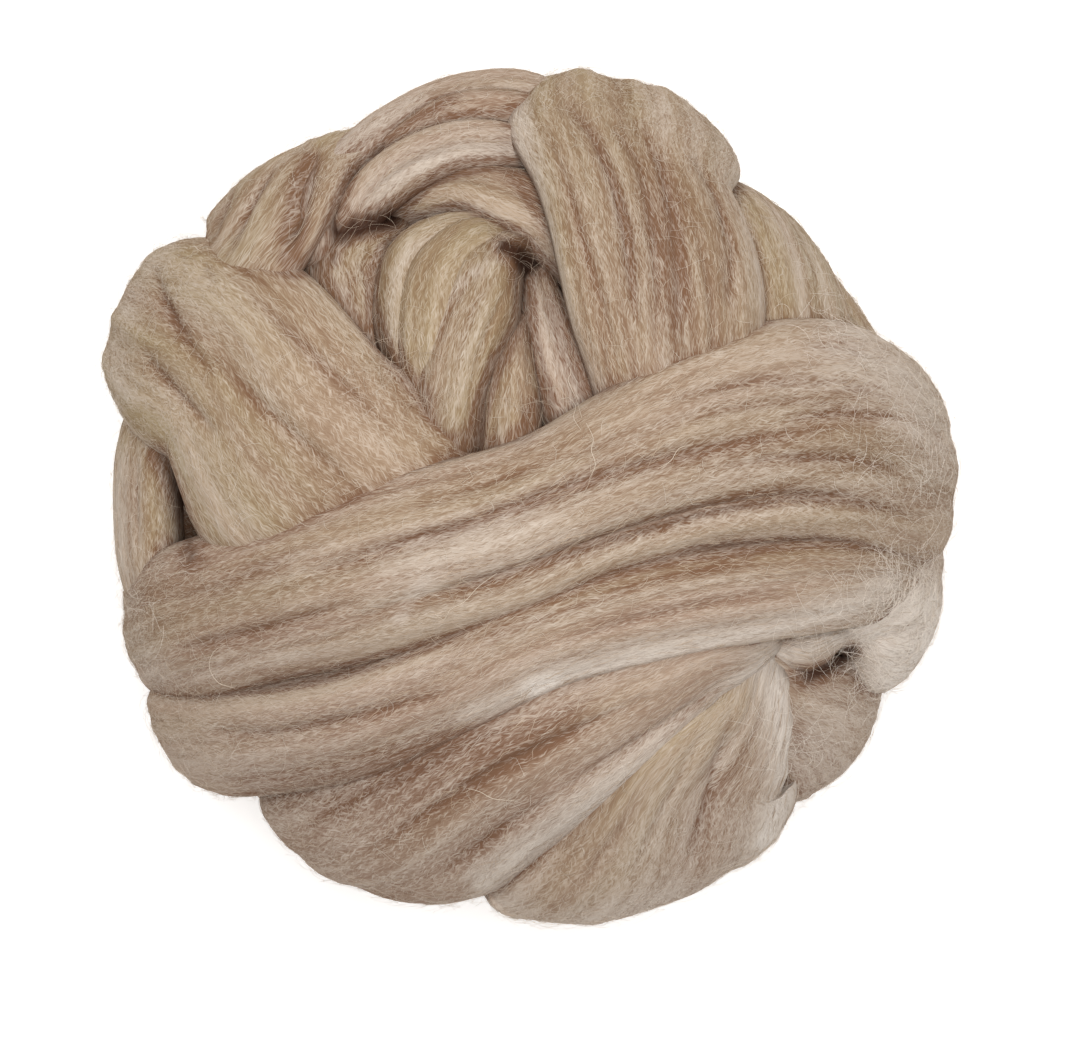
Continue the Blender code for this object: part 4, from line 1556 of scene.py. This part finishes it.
def tube_mesh(paths, outs, radius, name, material):
    """Three-sided closed tubes: each knot of a path gets three points at 120
    degrees in the plane of its side and outward directions, a face up."""
    number, knots = paths.shape[:2]
    tangent = unit(np.gradient(paths, axis=1))
    side = unit(np.cross(tangent, outs))
    up = np.cross(side, tangent)
    taper = np.sin(np.pi * np.linspace(*TUBE_ENDS, knots)) ** TUBE_TAPER
    r = radius[:, None] * taper[None, :]
    rings = []
    for k in range(TUBE_SIDES):
        corner = 2 * np.pi * k / TUBE_SIDES - np.pi / 2
        rings.append(paths + r[:, :, None] * (np.cos(corner) * side + np.sin(corner) * up))
    verts = np.stack(rings, axis=2).reshape(-1, 3) * MM
    f, i, k = np.meshgrid(
        np.arange(number), np.arange(knots - 1), np.arange(TUBE_SIDES), indexing="ij"
    )
    base = (f * knots + i) * TUBE_SIDES
    k1 = (k + 1) % TUBE_SIDES
    over = base + TUBE_SIDES
    quads = np.stack([base + k, base + k1, over + k1, over + k], -1).reshape(-1, 4)
    start = np.arange(number) * knots * TUBE_SIDES
    end = start + (knots - 1) * TUBE_SIDES
    triangles = np.vstack([
        np.column_stack([start + 2, start + 1, start]),
        np.column_stack([end, end + 1, end + 2]),
    ])
    item = add_mesh(name, verts, quads, triangles, material)
    item.data.shade_flat()
    turn_outwards(item)
    return item


print("sides of a tube:", TUBE_SIDES)

# %% [markdown]
# ## Kinds of fibre
#
# Lying fibres are short, straight and close to the surface. Loose ones are
# longer and arch off it. Fuzz leaves at every angle and is the finest. They
# are too fine to show a pattern, so each set has one plain colour.

# %% Kinds of fibre
FIBRE_KINDS = {
    # spread is the part of the outer side where they start, from 0 to 1
    "lying": {
        "long": (2.2, 4.6), "knots": 7, "stray": 0.22, "bend": 0.25, "wander": 0.16,
        "wave": 0.10, "crimp": (1.6, 2.6), "base": 0.04, "rise": 0.25, "free": 0.1,
        "spread": (0.05, 0.95), "radius": (0.034, 0.054),
    },
    "loose": {
        "long": (3.0, 7.5), "knots": 8, "stray": 0.38, "bend": 0.6, "wander": 0.35,
        "wave": 0.15, "crimp": (2.2, 4.5), "base": 0.08, "rise": 1.0, "free": 0.5,
        "spread": (0.05, 0.95), "radius": (0.026, 0.042),
    },
    "fuzz": {
        "long": (1.6, 5.0), "knots": 6, "stray": 1.0, "bend": 2.0, "wander": 0.5,
        "wave": 0.0, "crimp": (4.0, 7.0), "base": 0.1, "rise": 1.9, "free": 0.85,
        "spread": (0.03, 0.97), "radius": (0.018, 0.032),
    },
}


def plain_wool(name, colour):
    """A fibre's own material: one colour with a soft sheen."""
    material = plain_material(name, colour, 0.85)
    shader = material.node_tree.nodes["Principled BSDF"]
    shader.inputs["Specular IOR Level"].default_value = 0.0
    shader.inputs["Sheen Weight"].default_value = 0.15
    shader.inputs["Sheen Roughness"].default_value = 0.4
    return material


print("kinds of fibre:", list(FIBRE_KINDS))

# %% [markdown]
# ## Where fibres gather
#
# Lying and loose fibres cover everything. Fuzz gathers where the ball turns
# over its rim, and at a few fluffy spots that the photograph shows.

# %% Weights
UPPER_HALF, FUZZ_LOW, LOW_SHARE = 35, 25, 0.35
FUZZ_LEAST, FUZZ_RIM, FUZZ_POWER = 0.10, 0.8, 5


def everywhere(points):
    """Full weight on the upper half, less on the hidden lower half."""
    return np.where(points[:, 2] > UPPER_HALF, 1.0, LOW_SHARE)


# Fluffy spots: x, y, size in mm, and how much more fuzz they carry.
FLUFFY = [
    (75.0, -30.0, 14.0, 1.2), (78.0, 8.0, 16.0, 0.6), (72.0, 34.0, 14.0, 0.4),
    (-82.0, -22.0, 14.0, 0.5), (-82.0, 36.0, 14.0, 0.4), (-14.0, -74.0, 14.0, 0.3),
]


def at_the_rim(points):
    """Weight that grows with a power of the distance from the axis, over the
    mean radius, plus a bell curve about each fluffy spot, less underneath."""
    far = np.hypot(points[:, 0], points[:, 1]) / MEAN_RADIUS
    weight = FUZZ_LEAST + FUZZ_RIM * far ** FUZZ_POWER
    for x, y, size, more in FLUFFY:
        gap = (points[:, 0] - x) ** 2 + (points[:, 1] - y) ** 2
        weight += more * np.exp(-gap / size ** 2)
    return np.clip(weight, 0, 1) * np.where(points[:, 2] > FUZZ_LOW, 1.0, LOW_SHARE)


print("fluffy spots:", len(FLUFFY))

# %% [markdown]
# ## Sets of fibres
#
# Each set shares its tries among the passes by their area. Many tries are
# dropped as hidden, so a few more are made than asked for. The numbers keep
# the whole ball under a million triangles.

# %% Sets of fibres
MORE_TRIES = 2.2
FIBRE_SETS = [
    # name, kind, tries, seed, weight, colour
    ("fibres_pale", "lying", 5600, 1, everywhere, (0.52, 0.41, 0.31)),
    ("fibres_oat", "lying", 3000, 2, everywhere, (0.36, 0.262, 0.180)),
    ("fibres_loose", "loose", 1900, 3, everywhere, (0.55, 0.445, 0.35)),
    ("fibres_fuzz", "fuzz", 12500, 4, at_the_rim, (0.60, 0.51, 0.42)),
    ("fibres_halo", "fuzz", 9500, 5, at_the_rim, (0.68, 0.61, 0.53)),
]

fibre_pieces = []
for name, kind_name, tries, seed, weight, colour in FIBRE_SETS:
    kind = FIBRE_KINDS[kind_name]
    rng = np.random.default_rng(seed)
    areas = np.array([item["length"] * item["around"] / 2 for item in surfaces])
    found = []
    for surface, share in zip(surfaces, areas / areas.sum()):
        paths, outs = fibre_paths(surface, int(tries * share * MORE_TRIES), kind, rng)
        found.append(keep_seen(paths, outs, surface["name"], weight, rng))
    paths = np.concatenate([item[0] for item in found])
    outs = np.concatenate([item[1] for item in found])
    radius = rng.uniform(*kind["radius"], len(paths))
    piece = tube_mesh(paths, outs, radius, name, plain_wool(name, colour))
    fibre_pieces.append(piece)
    print(name, "fibres:", len(paths), "triangles:", triangle_count(piece))

# %% [markdown]
# ## Height of the wool from above
#
# Hairs that cross from pass to pass need the height of the wool at any spot
# of the plan. A ray cast would give it, but a coarse grid of the highest
# points is quicker and smooth enough.

# %% Height of the wool from above
CELL = 2.0
GRID = 110


def highest_points():
    """Highest surface point in each cell of the plan, cell by cell."""
    grid = np.zeros((GRID, GRID))
    for surface in surfaces:
        at = surface["points"].reshape(-1, 3)
        i, j = (np.floor(at[:, :2] / CELL).astype(int) + GRID // 2).T
        np.maximum.at(grid, (i, j), at[:, 2])
    return grid


TOPS = highest_points()


def top_at(x, y):
    """Height over the plan: the grid blended between its four nearest cells."""
    i, j = x / CELL - 0.5 + GRID // 2, y / CELL - 0.5 + GRID // 2
    i0, j0 = (np.clip(np.floor(k).astype(int), 0, GRID - 2) for k in (i, j))
    fi, fj = np.clip(i - i0, 0, 1), np.clip(j - j0, 0, 1)
    return blend_four(TOPS, i0, i0 + 1, j0, j0 + 1, fi, fj)


print("highest point, mm:", round(float(TOPS.max()), 1))

# %% [markdown]
# ## Tangles
#
# At the dark hollows and at the two ends of the wide belt, hairs cross each
# other every way. Pale ones gather at the fluffy fold on the right.

# %% Tangles
TANGLES = [
    # pixel, pixel, height, spread in mm, hairs
    (520, 258, 85, 2.6, 34), (378, 226, 72, 2.4, 16), (336, 262, 72, 2.0, 12),
    (400, 360, 92, 4.0, 60), (430, 395, 95, 3.6, 40), (550, 410, 98, 4.0, 44),
    (832, 655, 62, 3.0, 40), (870, 590, 74, 6.0, 50),
    (900, 430, 84, 9.0, 60), (930, 520, 66, 7.0, 40), (905, 350, 70, 7.0, 40),
    (140, 620, 68, 6.0, 60), (175, 690, 66, 5.0, 60), (180, 505, 70, 4.0, 40),
    (450, 600, 104, 5.0, 36), (215, 240, 66, 5.0, 40), (300, 780, 76, 7.0, 50),
    (500, 880, 60, 5.0, 50), (770, 655, 76, 4.0, 40),
]
PALE_TANGLES = [
    # the same columns
    (885, 640, 68, 7.0, 260), (925, 612, 60, 5.0, 170), (866, 650, 66, 3.0, 60),
    (905, 668, 56, 5.0, 120), (808, 646, 74, 3.0, 40), (888, 592, 72, 4.0, 90),
    (925, 575, 62, 4.0, 90), (900, 610, 66, 3.0, 60), (905, 430, 80, 9.0, 60),
    (930, 470, 66, 7.0, 110), (930, 400, 62, 6.0, 90), (850, 335, 76, 6.0, 70),
    (785, 740, 70, 4.0, 50), (125, 610, 60, 5.0, 50),
]
print("hairs in the tables:", sum(row[4] for row in TANGLES + PALE_TANGLES))

# %% [markdown]
# ## Curls of the tangles
#
# A tangled hair turns at a steady rate and lies on the wool with a low arch.
# One that would drop steeply into a gap is left out.

# %% Curls of the tangles
TANGLE_KNOTS = 7
TANGLE_LONG, TANGLE_TURN = (3.0, 9.0), 1.5
TANGLE_GAP, TANGLE_ARCH = 0.15, (0.1, 0.9)
SMOOTHINGS = 3
HAIR_RADIUS = (0.018, 0.032)
STEEPEST, LOWEST_HAIR = 2.5, 20


def tangle_paths(table, rng):
    """Curls that start about each spot: the heading turns at a steady random
    rate, and the height follows the wool's with a small arch over it."""
    starts = []
    for px, py, height, spread, hairs in table:
        middle = on_ball_plan([(px, py)], height)[0]
        starts.append(middle + rng.normal(0, spread, (hairs, 2)))
    start = np.concatenate(starts)
    number = len(start)
    t = np.linspace(0, 1, TANGLE_KNOTS)[None, :]
    long_mm = rng.uniform(*TANGLE_LONG, number)[:, None]
    heading = rng.uniform(0, 2 * np.pi, number)[:, None]
    heading = heading + t * rng.normal(0, TANGLE_TURN, number)[:, None]
    x = start[:, :1] + np.cumsum(np.cos(heading) * long_mm / (TANGLE_KNOTS - 1), axis=1)
    y = start[:, 1:] + np.cumsum(np.sin(heading) * long_mm / (TANGLE_KNOTS - 1), axis=1)
    z = top_at(x, y)
    for _ in range(SMOOTHINGS):
        z[:, 1:-1] = np.maximum(z[:, 1:-1], (z[:, :-2] + z[:, 2:]) / 2)
    z += TANGLE_GAP + np.sin(np.pi * t) * rng.uniform(*TANGLE_ARCH, number)[:, None]
    return np.stack([x, y, z], axis=-1)


rng = np.random.default_rng(9)
for name, table, colour in (
    ("tangles", TANGLES, (0.47, 0.38, 0.30)),
    ("tangles_pale", PALE_TANGLES, (0.76, 0.69, 0.62)),
):
    paths = tangle_paths(table, rng)
    steady = np.abs(np.diff(paths[..., 2], axis=1)).max(1) < STEEPEST
    paths = paths[steady & (paths[..., 2].min(1) > LOWEST_HAIR)]
    outs = np.zeros_like(paths) + np.array([0.0, 0.0, 1.0])
    radius = rng.uniform(*HAIR_RADIUS, len(paths))
    fibre_pieces.append(tube_mesh(paths, outs, radius, name, plain_wool(name, colour)))
    print(name, "hairs:", len(paths))

# %% [markdown]
# ## Stray curls
#
# A few long pale curls catch the eye in the photograph, so they are drawn one
# by one, as lines of pixels that lie just over the wool.

# %% Stray curls
CURL_KNOTS, CURL_STEP, CURL_AVERAGE = 16, 0.2, 5
CURL_HEIGHT, CURL_RADIUS, CURL_GAP = 92, 0.055, 0.2
CURL_COLOUR = (0.66, 0.57, 0.47)
CURLS = [
    # each is a line of pixels, read at the height of the wool there
    [(567, 364), (571, 373), (568, 381), (575, 398), (581, 420)],
    [(560, 400), (569, 399), (575, 408), (573, 420), (580, 432)],
    [(468, 787), (480, 790), (494, 797), (514, 799)],
    [(585, 425), (592, 440), (590, 452), (594, 466), (588, 480)],
    [(437, 612), (446, 618), (452, 608), (466, 600), (480, 585), (498, 572)],
    [(232, 690), (214, 684), (206, 668), (212, 652), (224, 646)],
    [(655, 470), (668, 462), (676, 450), (690, 446)],
]


def curl_paths():
    """Each line of pixels made smooth, laid a small gap over the wool, with
    its heights averaged over a few neighbouring knots."""
    made = []
    for line in CURLS:
        plan = on_ball_plan(line, CURL_HEIGHT)
        flat, _ = smooth_rows(np.column_stack([plan, 0 * plan[:, :1]]), False, CURL_STEP)
        pick = np.linspace(0, len(flat) - 1, CURL_KNOTS).round().astype(int)
        x, y = flat[pick, 0], flat[pick, 1]
        z = top_at(x, y) + CURL_GAP
        z = np.pad(z, CURL_AVERAGE // 2, mode="edge")
        z = np.convolve(z, np.ones(CURL_AVERAGE) / CURL_AVERAGE, mode="valid")
        made.append(np.column_stack([x, y, z + CURL_GAP]))
    return np.array(made)


paths = curl_paths()
outs = np.zeros_like(paths) + np.array([0.0, 0.0, 1.0])
radius = np.full(len(paths), CURL_RADIUS)
curls = tube_mesh(paths, outs, radius, "stray_curls", plain_wool("curl_wool", CURL_COLOUR))
fibre_pieces.append(curls)
print("stray curls:", len(paths))

# %% [markdown]
# ## Hand over
#
# Every piece rides with the one body and stands in for the plain solid, which
# stays in the physics model.

# %% Ride and replace
for piece in pieces + fibre_pieces:
    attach(piece, "root")
    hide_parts("wound_roving")
